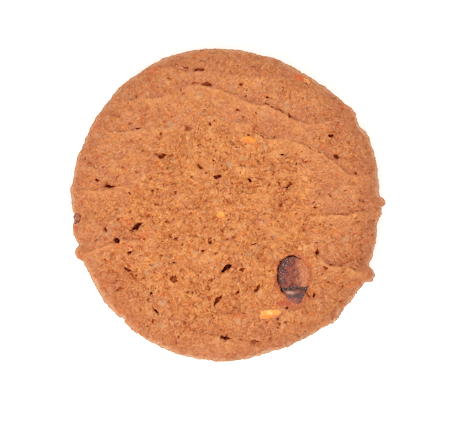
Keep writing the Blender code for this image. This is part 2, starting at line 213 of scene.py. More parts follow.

# Lesser pits and cracks: x, y, length and width in millimetres, turn in degrees, darkness of the shade
# painted in them
PITS = (
    (2.9, 23.7, 0.9, 0.55, 0, 0.6), (5.5, 20.7, 1.2, 0.7, 30, 0.3), (3.95, 21.4, 0.7, 0.5, 0, 0.9),
    (8.2, 21.1, 1.3, 0.45, -5, 0.95), (2.4, 18.65, 1.2, 0.35, -15, 0.85), (3.4, 17.3, 0.8, 0.35, 0, 0.5),
    (12.5, 17.4, 1.0, 0.6, -40, 0.65), (11.1, 18.3, 1.4, 0.7, -30, 0.4), (-17.8, 21.4, 0.8, 0.38, 90, 0.85),
    (-17.2, 19.9, 0.6, 0.4, 0, 0.5), (-12.7, 13.9, 0.9, 0.6, 80, 0.6), (-17.4, 14.9, 0.9, 0.45, 0, 0.8),
    (-5.2, 11.8, 0.8, 0.5, 30, 0.5), (-5.2, 10.3, 0.8, 0.5, 0, 0.45), (13.9, 8.05, 0.8, 0.35, 80, 0.7),
    (15.2, 8.6, 0.9, 0.35, -60, 0.7), (15.8, 8.4, 0.8, 0.3, 30, 0.7), (16.7, 8.5, 0.5, 0.35, 40, 0.6),
    (25.7, 6.15, 0.7, 0.55, 0, 0.65), (-27.9, 9.0, 1.2, 0.6, -60, 0.5), (-27.1, 8.2, 1.1, 0.5, 60, 0.5),
    (-25.4, 4.8, 0.65, 0.6, 0, 0.95), (-21.4, 5.45, 1.2, 0.28, 50, 0.75),
    (-18.95, 2.15, 0.9, 0.5, -70, 0.85), (4.7, 4.85, 0.75, 0.6, 0, 0.95), (11.0, 0.1, 0.9, 0.5, 50, 0.8),
    (20.55, 1.7, 0.8, 0.38, -60, 0.85), (-23.9, -4.8, 1.0, 0.55, -75, 0.95),
    (-6.0, -6.2, 0.9, 0.6, 0, 0.35), (3.3, -12.8, 1.1, 1.0, 0, 0.55), (-21.7, -16.9, 1.2, 0.4, 55, 0.75),
    (-21.7, -18.6, 1.0, 0.4, -50, 0.5), (-19.6, -12.9, 1.6, 0.6, -40, 0.8),
    (-18.2, -14.4, 1.6, 0.45, -45, 0.45), (2.4, -17.35, 0.9, 0.45, 70, 0.95),
    (19.6, -12.6, 1.1, 0.55, -55, 0.8), (18.9, -13.75, 0.9, 0.28, 30, 0.9),
    (17.9, -12.9, 0.45, 0.35, 0, 0.6), (26.9, -10.85, 0.8, 0.5, 80, 0.9),
    (23.1, -16.3, 0.7, 0.45, 60, 0.85), (22.6, -17.0, 1.0, 0.25, 25, 0.5),
    (-14.5, -22.9, 0.9, 0.45, 80, 0.85), (-16.0, -23.5, 0.7, 0.28, 80, 0.5),
    (10.3, -22.6, 1.0, 0.5, 85, 0.8), (10.5, -23.4, 0.7, 0.5, 0, 0.55), (11.8, -23.2, 0.9, 0.55, 0, 0.5),
    (10.3, -24.3, 0.7, 0.45, 0, 0.55), (13.5, -23.2, 0.7, 0.45, 80, 0.6),
    (16.2, -17.85, 1.4, 0.45, -42, 0.75), (17.35, -18.1, 0.6, 0.45, 60, 0.9),
    (-7.9, -28.6, 0.8, 0.3, -30, 0.4), (-7.7, 27.05, 1.5, 0.7, 0, 0.55), (-4.9, 28.5, 1.7, 0.55, 0, 0.55),
    (-6.2, 24.0, 0.9, 0.5, 5, 0.5), (-3.1, 15.7, 0.65, 0.5, 0, 0.75), (-1.8, 14.6, 0.9, 0.22, -60, 0.45),
    (-11.2, 24.8, 0.9, 0.4, -30, 0.45), (-8.4, 21.9, 0.9, 0.5, 0, 0.35), (-14.2, 22.7, 0.5, 0.28, 0, 0.45),
    (-12.9, 18.8, 0.5, 0.35, 0, 0.35), (-11.1, 19.7, 0.5, 0.4, 0, 0.45), (-4.1, 18.7, 0.7, 0.3, 0, 0.4),
    (-12.9, 17.3, 0.8, 0.3, 20, 0.4), (-12.1, 16.3, 0.5, 0.4, 0, 0.65), (-3.1, 12.9, 0.5, 0.35, 0, 0.5),
    (-2.4, 8.6, 0.5, 0.35, 0, 0.75), (-7.6, 9.4, 0.8, 0.3, 60, 0.5), (-10.8, 9.8, 0.9, 0.35, -5, 0.4),
    (-17.6, 6.4, 1.0, 0.4, 10, 0.35), (-17.3, 12.3, 0.7, 0.35, 80, 0.35), (-22.1, 9.8, 0.9, 0.3, -5, 0.35),
    (-24.2, 7.4, 0.5, 0.4, 0, 0.4), (-25.4, 11.3, 0.8, 0.4, -45, 0.4), (-18.9, 15.9, 0.9, 0.5, 0, 0.4),
    (-15.1, 14.5, 0.9, 0.28, 5, 0.5), (-21.4, 19.4, 0.6, 0.35, 0, 0.5), (2.4, 27.5, 0.55, 0.4, 0, 0.6),
    (5.2, 27.1, 0.45, 0.4, 0, 0.6), (5.85, 27.0, 0.4, 0.4, 0, 0.6), (9.4, 28.1, 0.9, 0.35, -15, 0.5),
    (11.0, 25.5, 0.5, 0.4, 0, 0.5), (15.2, 20.9, 0.6, 0.3, 40, 0.6), (16.1, 21.2, 0.5, 0.3, 0, 0.6),
    (16.9, 21.1, 0.4, 0.35, 0, 0.6), (17.9, 21.2, 0.5, 0.35, 0, 0.5), (20.9, 18.8, 0.7, 0.3, 20, 0.6),
    (17.9, 17.0, 0.45, 0.4, 0, 0.5), (10.1, 15.5, 0.9, 0.25, 90, 0.55), (11.0, 16.6, 0.7, 0.25, 20, 0.5),
    (11.4, 15.4, 0.8, 0.25, -10, 0.5), (4.8, 9.4, 0.8, 0.4, 80, 0.65), (6.4, 8.5, 0.55, 0.38, 0, 0.75),
    (9.2, 5.9, 0.6, 0.4, 0, 0.6), (-25.7, -7.1, 0.8, 0.4, 70, 0.4), (-22.4, -7.5, 1.2, 0.3, 0, 0.5),
    (-19.0, -9.5, 1.1, 0.55, 45, 0.9), (-22.4, -9.7, 0.8, 0.3, 0, 0.4), (-14.7, -17.4, 0.65, 0.5, 0, 0.9),
    (-11.5, -16.7, 1.1, 0.4, -25, 0.45), (-7.4, -17.2, 0.8, 0.35, 65, 0.5), (-9.8, -6.7, 0.9, 0.5, 15, 0.7),
    (-13.3, -8.4, 0.9, 0.3, 55, 0.65), (-3.2, -7.4, 0.9, 0.6, 50, 0.85), (-4.5, -9.2, 0.65, 0.5, 0, 0.75),
    (-2.0, -9.8, 0.7, 0.28, -40, 0.75), (-12.6, -10.0, 0.55, 0.3, 0, 0.6),
    (-10.3, -11.5, 0.5, 0.45, 0, 0.85), (-7.0, -12.6, 0.9, 0.28, 0, 0.5),
    (-15.2, -18.9, 0.9, 0.45, 80, 0.35), (-2.5, -22.4, 0.5, 0.4, 0, 0.85),
    (-2.65, -21.8, 0.4, 0.35, 0, 0.75), (-6.3, -25.5, 0.5, 0.35, 0, 0.5),
    (-9.4, -26.4, 0.6, 0.35, -20, 0.55), (-5.5, -15.6, 0.45, 0.4, 0, 0.5),
    (-12.3, -27.3, 0.5, 0.3, 0, 0.35), (-16.2, -14.5, 0.9, 0.35, -20, 0.5), (1.5, -6.5, 0.8, 0.6, 0, 0.5),
    (6.5, -4.8, 0.8, 0.35, 0, 0.65), (6.4, -8.6, 0.7, 0.22, 0, 0.5), (5.8, -7.75, 0.9, 0.45, 10, 0.85),
    (6.5, -10.7, 0.7, 0.35, -40, 0.65), (8.7, -13.1, 0.7, 0.4, 0, 0.55), (4.1, -17.0, 0.7, 0.5, 80, 0.5),
    (17.9, -7.5, 0.9, 0.5, 0, 0.4), (26.8, -7.9, 0.7, 0.5, 0, 0.55), (23.3, -11.6, 1.2, 0.5, 10, 0.35),
    (25.0, -10.3, 0.6, 0.3, 0, 0.45), (20.2, -15.4, 0.7, 0.3, 0, 0.55), (19.6, -19.3, 0.45, 0.35, 0, 0.6),
    (23.4, -13.9, 0.8, 0.3, 0, 0.4), (9.7, -25.7, 0.5, 0.3, 0, 0.5), (12.1, -20.4, 0.6, 0.5, 0, 0.75),
    (7.1, -28.8, 0.5, 0.4, 90, 0.4), (4.1, -23.5, 0.5, 0.35, 0, 0.45), (9.0, -19.0, 0.8, 0.3, 0, 0.4),
    (6.5, -13.8, 1.0, 0.25, 35, 0.55), (8.2, -16.3, 0.8, 0.25, 0, 0.4), (13.9, -7.2, 0.8, 0.22, 20, 0.45),
    (17.6, -0.6, 1.0, 0.45, -20, 0.75), (11.1, 9.75, 1.0, 0.55, 0, 0.9), (-13.9, 9.95, 1.1, 0.3, -25, 0.65),
    (-11.6, 9.6, 1.0, 0.3, -5, 0.4), (-17.5, -4.6, 0.9, 0.65, 60, 1.0), (18.05, -8.2, 0.9, 0.25, 88, 0.45),
    (18.1, -10.6, 0.8, 0.22, 90, 0.5), (20.75, 12.9, 0.8, 0.22, 95, 0.6),
    (-0.7, -26.25, 0.9, 0.25, -5, 0.75), (1.0, -26.45, 0.9, 0.25, -4, 0.65),
    (0.2, -25.9, 0.6, 0.28, 80, 0.75), (-23.6, 3.95, 0.6, 0.3, 40, 0.85), (-2.9, -20.0, 0.6, 0.3, 60, 0.5),
    (-4.0, 6.2, 0.6, 0.4, 0, 0.5), (-0.4, -1.3, 0.7, 0.35, 10, 0.85), (0.6, -3.0, 0.6, 0.35, 0, 0.8),
    (-14.6, 2.7, 0.6, 0.4, 0, 0.7), (-10.0, 2.4, 0.7, 0.5, 0, 0.8), (18.4, 2.1, 0.5, 0.3, 0, 0.7),
    (27.1, 0.6, 0.6, 0.4, 0, 0.6), (23.5, 2.8, 0.6, 0.3, 0, 0.5), (20.8, -4.0, 0.6, 0.35, 0, 0.6),
    (1.3, 11.9, 0.5, 0.35, 0, 0.6), (-21.5, -1.0, 0.5, 0.4, 0, 0.5), (-21.6, -16.9, 1.5, 0.45, 50, 0.65),
    (-18.4, -14.2, 1.7, 0.50, -50, 0.55), (-15.4, -18.7, 0.8, 0.4, 60, 0.5),
    (-9.3, -26.2, 0.9, 0.40, -40, 0.50), (-8.1, -28.5, 0.9, 0.35, -20, 0.50),
    (-7.5, -17.3, 0.7, 0.45, 0, 0.5), (-12.8, -10.0, 0.7, 0.40, 10, 0.50),
    (-10.1, -11.4, 0.6, 0.50, 0, 0.60),
)

# Thin cracks along the ridges: x, y, length and width in millimetres, turn in degrees, darkness of the shade
# painted in them
RIDGE_CRACKS = (
    (6.0, 14.0, 1.6, 0.26, -27, 0.75), (7.15, 13.4, 1.6, 0.28, -28, 0.80), (8.3, 13.0, 1.4, 0.25, -8, 0.80),
    (15.4, 11.8, 1.8, 0.20, -23, 0.50), (16.6, 11.15, 1.5, 0.24, -38, 0.65),
    (17.5, 10.65, 1.3, 0.24, -18, 0.60), (18.4, 10.2, 1.3, 0.20, -28, 0.50),
    (8.3, 19.7, 1.9, 0.28, -38, 0.70), (9.6, 18.85, 1.9, 0.34, -33, 0.80),
    (0.4, -21.55, 3.6, 0.22, 2, 0.45), (3.4, -21.4, 2.4, 0.22, 0, 0.50), (-3.2, -25.7, 3.8, 0.22, -4, 0.45),
    (3.2, -26.65, 3.4, 0.22, -2, 0.60), (-22.5, 14.3, 3.2, 0.24, 4, 0.25),
    (-19.3, 14.6, 2.8, 0.24, 3, 0.35), (-25.5, 3.0, 3.0, 0.22, 2, 0.40), (22.0, -1.9, 3.4, 0.22, -4, 0.45),
    (-26.2, -8.9, 3.0, 0.22, 14, 0.40), (21.0, -11.8, 2.6, 0.24, -22, 0.45),
    (-19.0, 20.7, 3.0, 0.22, 3, 0.40),
)
STRAY_PITS = 260
PIT_WARP = 0.26 * MM
PIT_EDGE = 0.5 * MM

# Pale flakes baked in flush with the top: x, y and size in millimetres
FLAKES = (
    (-20.2, 21.8, 1.6), (-5.2, 21.7, 1.7), (-10.9, 15.6, 2.0), (-25.6, 13.7, 1.8), (-28.1, 7.2, 1.4),
    (0.6, 7.7, 2.0), (-18.4, 21.7, 1.3), (1.4, 23.0, 2.0), (18.4, 22.6, 1.7), (12.1, 19.6, 2.0),
    (27.5, 14.3, 1.4), (7.1, 17.8, 1.5), (16.0, 23.8, 1.5), (-21.5, -4.1, 1.8), (-23.3, -5.4, 1.6),
    (-25.9, -11.9, 1.5), (-16.9, -9.8, 1.8), (-15.6, -13.5, 1.5), (-23.0, -16.5, 1.3), (-13.3, -11.8, 2.2),
    (-12.4, -19.3, 1.7), (-2.9, -11.1, 1.6), (-20.1, -22.2, 1.3), (6.1, -8.7, 1.6), (6.6, -17.5, 1.8),
    (2.5, -22.7, 1.6), (5.5, -28.5, 1.5), (18.6, -20.5, 1.6), (20.2, -22.4, 1.4), (23.8, -6.6, 1.6),
    (4.5, -9.5, 1.8),
)
STRAY_FLAKES = 60

# Scale of the dough's granules, in cells a millimetre
CELL_SCALE = 1.1

# Tones of the dough, in screen values. Some are painted light and shade: the lip is a painted highlight; the
# mauve where it gathers behind the ridges, and the tones behind a lip, groove, crevice, crack, fine crack,
# hollow, pit edge, pit and line are painted shade; the grains and facets are painted lighter on high relief
# and darker on low; the rim and the shoulder are their own darker colour plus painted shade on the near side
DOUGH_TONES = {
    "low crumb": (208, 127, 74),
    "high crumb": (240, 161, 93),
    "mauve": (208, 134, 102),
    "torn part": (238, 146, 62),
    "outer part": (190, 102, 54),
    "rim": (184, 104, 62),
    "glow": (238, 128, 54),
    "pinkish": (216, 146, 116),
    "light grain highlight": (250, 192, 138),
    "dark grain shade": (188, 78, 20),
    "light granule": (252, 184, 116),
    "dark granule": (224, 118, 50),
    "crack": (188, 84, 22),
    "fine crack shade": (206, 106, 42),
    "high facet highlight": (250, 174, 106),
    "low facet shade": (186, 98, 54),
    "fleck": (206, 166, 126),
    "flake": (206, 170, 132),
    "lip": (250, 170, 106),
    "shade behind a lip": (188, 106, 70),
    "groove": (182, 100, 66),
    "crevice": (178, 80, 24),
    "shoulder": (188, 110, 68),
    "toast": (228, 108, 52),
    "pale edge": (222, 170, 132),
    "flank": (194, 120, 70),
    "line": (176, 146, 122),
    "underside": (190, 120, 72),
    "stain": (200, 88, 66),
    "skin": (122, 72, 58),
    "hollow": (188, 80, 22),
    "pit edge shade": (170, 76, 30),
    "pit": (90, 32, 12),
}

# Loose grains on the top: how many, and their radii in millimetres
CRUMB_COUNT = 3200
CRUMB_SIZES = (0.07, 0.17)
SUGAR_COUNT = 24
SUGAR_SIZES = (0.08, 0.13)

# How far the corners of a grain go in and out, and how much a grain is squeezed or drawn out
GRAIN_CORNERS = (0.72, 1.25)
GRAIN_STRETCH = (0.65, 1.35)

# Patches of redder, more toasted dough: x, y, length and width in millimetres, turn in degrees, strength
TOASTED = (
    (14.5, 25.1, 2.8, 1.4, -15, 1.35), (23.2, 19.3, 1.8, 1.3, 30, 0.8), (-19.4, -3.4, 2.2, 1.6, 0, 0.6),
    (-14.3, 26.4, 3.4, 1.6, 20, 0.6), (-5.3, 29.6, 3.6, 1.1, 0, 0.6), (-26.0, 15.4, 3.6, 1.2, 55, 0.5),
    (-28.3, 11.2, 2.6, 1.1, 65, 0.5), (-10.8, 17.8, 1.6, 1.2, 0, 0.6), (-16.3, -6.3, 3.2, 1.6, 15, 0.6),
    (-20.3, -8.1, 3.0, 1.2, 5, 0.6), (-20.6, -20.8, 2.2, 1.6, -40, 0.4), (-12.0, -17.7, 2.4, 1.2, 0, 0.5),
    (-23.7, -15.8, 2.0, 1.4, -60, 0.5), (2.3, -22.1, 4.4, 1.2, 0, 0.6), (25.0, -15.8, 3.2, 0.9, 25, 0.6),
    (21.6, -5.6, 2.2, 1.3, 0, 0.5), (10.6, -19.2, 1.6, 2.2, 20, 0.5), (-29.6, -10.4, 2.2, 2.0, 0, 0.6),
)

# Bits of peel baked into the top: x, y, length, width and thickness in millimetres, turn in degrees
PEEL_BITS = {
    "peel_far": (4.5, 12.7, 3.6, 1.6, 1.0, -8.0),
    "peel_near": (8.6, -21.6, 5.6, 2.4, 1.2, 12.0),
    "peel_middle": (-1.0, -2.0, 1.9, 1.7, 1.0, -10.0),
    "peel_rim": (16.0, 24.4, 1.8, 1.2, 0.8, -72.0),
}
PEEL_PROUD = 0.22 * MM
PEEL_BED_DEPTH = 0.30 * MM

# How pale each of them is, from orange at 0 to straw at 1
PEEL_PALENESS = {"peel_far": 0.0, "peel_near": 0.9, "peel_middle": 0.3, "peel_rim": 0.2}

# How much narrower each is at its right end than in its middle
PEEL_TAPER = {"peel_far": 0.1, "peel_near": 0.5, "peel_middle": 0.0, "peel_rim": 0.4}

# How far each is pushed in and out at random
PEEL_ROUGHNESS = {
    "peel_far": 0.12 * MM,
    "peel_near": 0.12 * MM,
    "peel_middle": 0.14 * MM,
    "peel_rim": 0.36 * MM,
}

# The dried fruit sunk in the top: middle, half sizes, and how its lower lobe narrows and leans
FRUIT_X = 13.3 * MM
FRUIT_Y = -14.85 * MM
FRUIT_HALF_WIDTH = 3.0 * MM
FRUIT_HALF_LENGTH = 4.62 * MM
FRUIT_CROWN = 0.9 * MM
FRUIT_ROOT = 2.8 * MM
FRUIT_SINK = 0.75 * MM
FRUIT_BED_DEPTH = 1.3 * MM
FRUIT_TAPER = 0.24
FRUIT_LEAN = 0.7 * MM
FRUIT_FOLD_Y = -1.9 * MM
FRUIT_FOLD_DEPTH = 0.7 * MM
FRUIT_FOLD_WIDTH = 0.45 * MM
FRUIT_SECOND_FOLD_OFF = 1.25 * MM
FRUIT_SECOND_FOLD_DEPTH = 0.4 * MM
FRUIT_SECOND_FOLD_WIDTH = 0.35 * MM

# The rounder far part of the sunk fruit, as it is seen from above
FRUIT_DISC_X = 13.2 * MM
FRUIT_DISC_Y = -13.4 * MM
FRUIT_DISC_RADIUS = 3.2 * MM

# Dough stained red by the fruit, as the toasted patches are given
FRUIT_STAINS = (
    (11.6, -19.4, 3.0, 1.6, -10, 1.0), (-29.9, -4.6, 1.6, 1.4, 0, 1.0), (9.9, -15.6, 1.0, 3.0, 10, 0.6),
)

# Thin scraps of dark fruit skin on the dough, as the toasted patches are given
SKIN_SCRAPS = ((1.2, 12.0, 2.4, 0.9, -38, 1.0), (2.1, 11.4, 1.2, 0.5, -12, 0.9))

# The bit of fruit in the left flank: bearing, distance out, height and half sizes
RIM_FRUIT_BEARING = 185.8
RIM_FRUIT_REACH = 29.05 * MM
RIM_FRUIT_HEIGHT = 6.3 * MM
RIM_FRUIT_HALF = (1.2 * MM, 1.4 * MM, 1.6 * MM)
RIM_FRUIT_SINK = 1.1

# Mesh density of the dough
GRID_CELLS = 286
UNDERCUT_ROWS = 9
UNDERSIDE_ROWS = 5

# How far above the floor all but the underside ends
OFF_FLOOR = 0.02 * MM

# How far apart the surface is measured to lay a bit of peel flat on it
SLOPE_STEP = 1.2 * MM

# The room's light, the floor and its own glow, and the lamp at the near left
ROOM_LIGHT = 0.935
FLOOR_SIZE = 4.0
FLOOR_GLOW = 0.42
LAMP_PLACE = (-0.20, -0.32, 0.46)
LAMP_SIZE = 0.12
LAMP_POWER = 1.0
SHARPENING = 0.12

# The picture: its width, the cookie's width in it and how far the cookie lies right of and above the middle,
# then the cookie's true width, and the lens and sensor in millimetres
PICTURE_PIXELS = 450.0
COOKIE_PIXELS = 313.0
COOKIE_OFF_PIXELS = (0.9, 9.0)
COOKIE_WIDTH = 62.1 * MM
LENS_LENGTH = 300.0
SENSOR_WIDTH = 36.0


def smoothstep(t):
    """0 below 0, 1 above 1 and an even S curve between."""
    t = np.clip(t, 0.0, 1.0)
    return t * t * (3.0 - 2.0 * t)


def noise_at(points, wavelength, octaves=1, seed=0.0):
    """Smooth noise from about -1 to 1 at each point of an array, with lumps about a wavelength across."""
    shifted = (points / wavelength + np.array((seed, 1.7 * seed, -seed))).tolist()
    if octaves == 1:
        return np.array([noise.noise(point) for point in shifted])
    return np.array([noise.fractal(point, 0.9, 2.0, octaves) for point in shifted])


def on_plane(x, y):
    """The points x, y at z = 0, for noise that stays the same up and down."""
    return np.column_stack((x, y, np.zeros_like(x)))


def facets_at(points, wavelength, tilt, seed=0.0):
    """Rough facets, one for each cell of a broken surface.

    Returns for each point the height of its facet, which has its own level and tilt, and the distance to the
    border of the cell, both as shares of the wavelength.
    """
    lean_stride = 5.3
    level_stride = 7.9
    shifted = points / wavelength + np.array((seed, 1.7 * seed, -seed))
    heights = np.empty(len(points))
    borders = np.empty(len(points))
    for i, point in enumerate(shifted.tolist()):
        distances, centers = noise.voronoi(point)
        center = centers[0]
        lean = noise.noise_vector(center * lean_stride)
        off = Vector(point) - center
        slope = tilt * (lean.x * off.x + lean.y * off.y + lean.z * off.z)
        heights[i] = 0.5 * noise.noise(center * level_stride) + slope
        borders[i] = distances[1] - distances[0]
    return heights, borders


def line_level(points, x):
    """y at each x of the smooth curve through a ridge's points."""
    xs, ys = np.array(points).T * MM
    slopes = np.gradient(ys, xs)
    i = np.clip(np.searchsorted(xs, x) - 1, 0, len(xs) - 2)
    span = xs[i + 1] - xs[i]
    t = np.clip((x - xs[i]) / span, 0.0, 1.0)
    start = (1.0 + 2.0 * t) * (1.0 - t) ** 2 * ys[i] + t * (1.0 - t) ** 2 * span * slopes[i]
    end = t * t * (3.0 - 2.0 * t) * ys[i + 1] - t * t * (1.0 - t) * span * slopes[i + 1]
    return start + end


def ridge_relief(x, y, wobble=0.0):
    """The dragged ridges at x, y: height, and how much each point is on a lip, in a groove or behind one."""
    height = np.zeros_like(x)
    lip_share = np.zeros_like(x)
    groove_share = np.zeros_like(x)
    behind_share = np.zeros_like(x)
    for size, points in RIDGES.values():
        left = points[0][0] * MM
        right = points[-1][0] * MM
        fade = smoothstep((x - left) / RIDGE_END_FADE + 0.5)
        fade = fade * smoothstep((right - x) / RIDGE_END_FADE + 0.5)
        past = y - line_level(points, x) + wobble
        near_side = 1.0 / (1.0 + np.exp(np.clip(past / RIDGE_BREAK, -50.0, 50.0)))
        lip = np.exp(np.minimum(past, 0.0) / RIDGE_LIP_LENGTH)
        groove = np.exp(-np.maximum(past, 0.0) / RIDGE_GROOVE_LENGTH)
        size_here = fade * size * MM
        height += size_here * (near_side * lip - (1.0 - near_side) * RIDGE_GROOVE_SHARE * groove)
        # These shares mark where the finish paints a highlight on the lip and shade in the groove and behind
        # it
        lip_share = np.maximum(lip_share, 2.0 * fade * size * near_side * lip**2)
        groove_share = np.maximum(groove_share, 2.0 * fade * size * (1.0 - near_side) * groove**6)
        behind_share = np.maximum(behind_share, 2.0 * fade * size * (1.0 - near_side) * groove**0.5)
    return height, lip_share, groove_share, behind_share


def outline_radius(bearing, lobe_share=1.0):
    """Distance from the middle to the outline; lobe_share fades the lobes out towards the foot."""
    radius = MEAN_RADIUS
    for order, size, peak in OUTLINE_WAVES:
        radius = radius + size * np.cos(order * (bearing - math.radians(peak)))
    for peak, half_width, size in EDGE_LOBES:
        off = (bearing - math.radians(peak) + math.pi) % (2.0 * math.pi) - math.pi
        radius = radius + lobe_share * size * np.exp(-((off / math.radians(half_width)) ** 2))
    for peak, half_width, size in EDGE_KNOBS:
        off = (bearing - math.radians(peak) + math.pi) % (2.0 * math.pi) - math.pi
        radius = radius + lobe_share * size * np.exp(-((off / math.radians(half_width)) ** 4))
    return radius


def outline_middle():
    """The middle of the box round the outline, which is to lie over the origin."""
    bearing = np.linspace(0.0, 2.0 * math.pi, 1441)
    radius = outline_radius(bearing)
    x, y = radius * np.cos(bearing), radius * np.sin(bearing)
    return Vector(((x.max() + x.min()) / 2.0, (y.max() + y.min()) / 2.0, 0.0))


def lumps(points, sets):
    """Smooth uneven height at each point, from noise of each wavelength in sets."""
    return sum(height * noise_at(points, wavelength) for wavelength, height in sets)


def top_height(x, y):
    """Height at x, y of the top and the shoulder, with ridges and lumps but no crumb, as in the solids."""
    x = np.atleast_1d(np.asarray(x, dtype=float))
    y = np.atleast_1d(np.asarray(y, dtype=float))
    outline = outline_radius(np.arctan2(y, x))
    radius = np.hypot(x, y)
    reach = np.minimum(radius / (outline - SHOULDER_WIDTH), 1.0)
    crown = SHOULDER_HEIGHT + (MID_HEIGHT - SHOULDER_HEIGHT) * (1.0 - reach**2)
    angle = np.arcsin(np.clip(1.0 - (outline - radius) / SHOULDER_WIDTH, 0.0, 1.0))
    drop = (SHOULDER_HEIGHT - WIDEST_HEIGHT) * (1.0 - np.cos(angle))
    flat_share = 1.0 - angle / (math.pi / 2.0)
    uneven = ridge_relief(x, y)[0] + lumps(on_plane(x, y), LUMPS)
    return crown - drop + flat_share * uneven


def on_top(x, y, turn=0.0, lift=0.0):
    """Matrix that lays a piece on the top at x, y: tilted with it, turned in it and raised by lift."""
    xs = x + SLOPE_STEP * np.array((1.0, -1.0, 0.0, 0.0, 0.0))
    ys = y + SLOPE_STEP * np.array((0.0, 0.0, 1.0, -1.0, 0.0))
    east, west, north, south, here = top_height(xs, ys)
    normal = Vector(((west - east), (south - north), 2.0 * SLOPE_STEP)).normalized()
    tilt = Vector((0.0, 0.0, 1.0)).rotation_difference(normal).to_matrix().to_4x4()
    spot = Vector((x, y, here)) + normal * lift
    return Matrix.Translation(spot) @ tilt @ Matrix.Rotation(math.radians(turn), 4, "Z")


class Field:
    """A number that varies over a surface. It wraps a socket, and arithmetic on it adds Math nodes."""

    def __init__(self, finish, socket):
        self.finish = finish
        self.socket = socket

    def math(self, operation, first, second):
        return self.finish.node("ShaderNodeMath", {"operation": operation}, {0: first, 1: second})

    def __add__(self, other):
        return self.math("ADD", self, other)

    def __sub__(self, other):
        return self.math("SUBTRACT", self, other)

    def __rsub__(self, other):
        return self.math("SUBTRACT", other, self)

    def __mul__(self, other):
        return self.math("MULTIPLY", self, other)

    __radd__ = __add__


class Finish:
    """One material and the nodes in it."""

    def __init__(self, name, roughness, specular=0.5):
        self.material = bpy.data.materials.new(name)
        self.material.use_nodes = True
        self.tree = self.material.node_tree
        self.shader = self.tree.nodes["Principled BSDF"]
        self.shader.inputs["Metallic"].default_value = 0.0
        self.shader.inputs["Specular IOR Level"].default_value = specular
        self.shader.inputs["Roughness"].default_value = roughness
        self.place = self.node("ShaderNodeTexCoord", output="Object")

    def node(self, kind, settings=None, inputs=None, output=0):
        """Adds a node: its settings, then the values or links of its sockets. Returns one of its outputs."""
        made = self.tree.nodes.new(kind)
        for name, value in (settings or {}).items():
            setattr(made, name, value)
        for name, value in (inputs or {}).items():
            self.feed(made.inputs[name], value)
        return Field(self, made.outputs[output])

    def feed(self, socket, value):
        """Links a field to a socket, or sets the socket's own value."""
        if isinstance(value, Field):
            self.tree.links.new(value.socket, socket)
        else:
            socket.default_value = value

    def set(self, name, value):
        """Feeds a socket of the material's shader."""
        self.feed(self.shader.inputs[name], value)

    def attribute(self, name):
        """A number kept in the mesh at each point."""
        return self.node("ShaderNodeAttribute", {"attribute_name": name}, output="Fac")

    def noise(self, scale, detail=2.0, roughness=0.5, shift=0.0):
        """Noise in the object's own space; scale is in lumps a millimetre."""
        size = scale / MM
        inputs = {"Vector": self.place, "Location": (shift, shift, shift), "Scale": (size, size, size)}
        place = self.node("ShaderNodeMapping", inputs=inputs)
        inputs = {"Vector": place, "Scale": 1.0, "Detail": detail, "Roughness": roughness}
        return self.node("ShaderNodeTexNoise", inputs=inputs, output="Fac")

    def cells(self, scale):
        """How far each point is from the border of its cell; scale is in cells a millimetre."""
        settings = {"feature": "DISTANCE_TO_EDGE"}
        return self.node("ShaderNodeTexVoronoi", settings, {"Vector": self.warped(), "Scale": scale / MM})

    def grains(self, scale):
        """One random number from 0 to 1 for each cell of the same pattern."""
        inputs = {"Vector": self.warped(), "Scale": scale / MM}
        return self.node("ShaderNodeTexVoronoi", {"feature": "F1"}, inputs, output="Color")

    def warped(self, reach=0.22, scale=1.8):
        """The place of each point, pushed about by noise so that patterns on it have bent borders."""
        inputs = {"Vector": self.place, "Scale": scale / MM}
        push = self.node("ShaderNodeTexNoise", inputs=inputs, output="Color")
        push = self.vector_math("SUBTRACT", {0: push, 1: (0.5, 0.5, 0.5)})
        push = self.vector_math("SCALE", {0: push, "Scale": 2.0 * reach * MM})
        return self.vector_math("ADD", {0: self.place, 1: push})

    def vector_math(self, operation, inputs):
        return self.node("ShaderNodeVectorMath", {"operation": operation}, inputs)

    def ramp(self, value, low, high):
        """Smooth change from 0, where value is low, to 1, where it is high."""
        settings = {"interpolation_type": "SMOOTHSTEP"}
        return self.node("ShaderNodeMapRange", settings, {"Value": value, "From Min": low, "From Max": high})

    def mix(self, share, first, second):
        """Colour between first and second."""
        settings = {"data_type": "RGBA", "clamp_factor": True}
        return self.node("ShaderNodeMix", settings, {0: share, 6: first, 7: second}, output=2)

    def bump(self, height, distance, strength):
        """A bump, to feed Normal; distance is the real height of a step of 1."""
        inputs = {"Height": height, "Distance": distance, "Strength": strength}
        return self.node("ShaderNodeBump", inputs=inputs)


def color(red, green, blue):
    """A linear colour from its screen values, 0 to 255."""
    shares = (value / 255.0 for value in (red, green, blue))
    return (*((s / 12.92 if s <= 0.04045 else ((s + 0.055) / 1.055) ** 2.4) for s in shares), 1.0)


def finish_piece(name, bm, finish, slot, *nodes):
    """Turns a bmesh into a smooth piece that rides on the root body and stands for CAD nodes."""
    mesh = bpy.data.meshes.new(name)
    bm.to_mesh(mesh)
    bm.free()
    mesh.shade_smooth()
    mesh.materials.append(finish.material)
    piece = bpy.data.objects.new(name, mesh)
    bpy.context.scene.collection.objects.link(piece)
    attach(piece, "root")
    if nodes:
        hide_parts(*nodes)
    pieces.append(piece)
    return piece


def points_of(mesh):
    """The mesh's points as an array."""
    flat = np.empty(len(mesh.vertices) * 3, dtype=np.float32)
    mesh.vertices.foreach_get("co", flat)
    return flat.reshape(-1, 3).astype(float)


def normals_of(mesh):
    """The mesh's point normals as an array."""
    flat = np.empty(len(mesh.vertices) * 3, dtype=np.float32)
    mesh.vertex_normals.foreach_get("vector", flat)
    return flat.reshape(-1, 3).astype(float)


def move_points(mesh, points):
    """Puts the mesh's points at new places."""
    mesh.vertices.foreach_set("co", points.astype(np.float32).ravel())
    mesh.update()


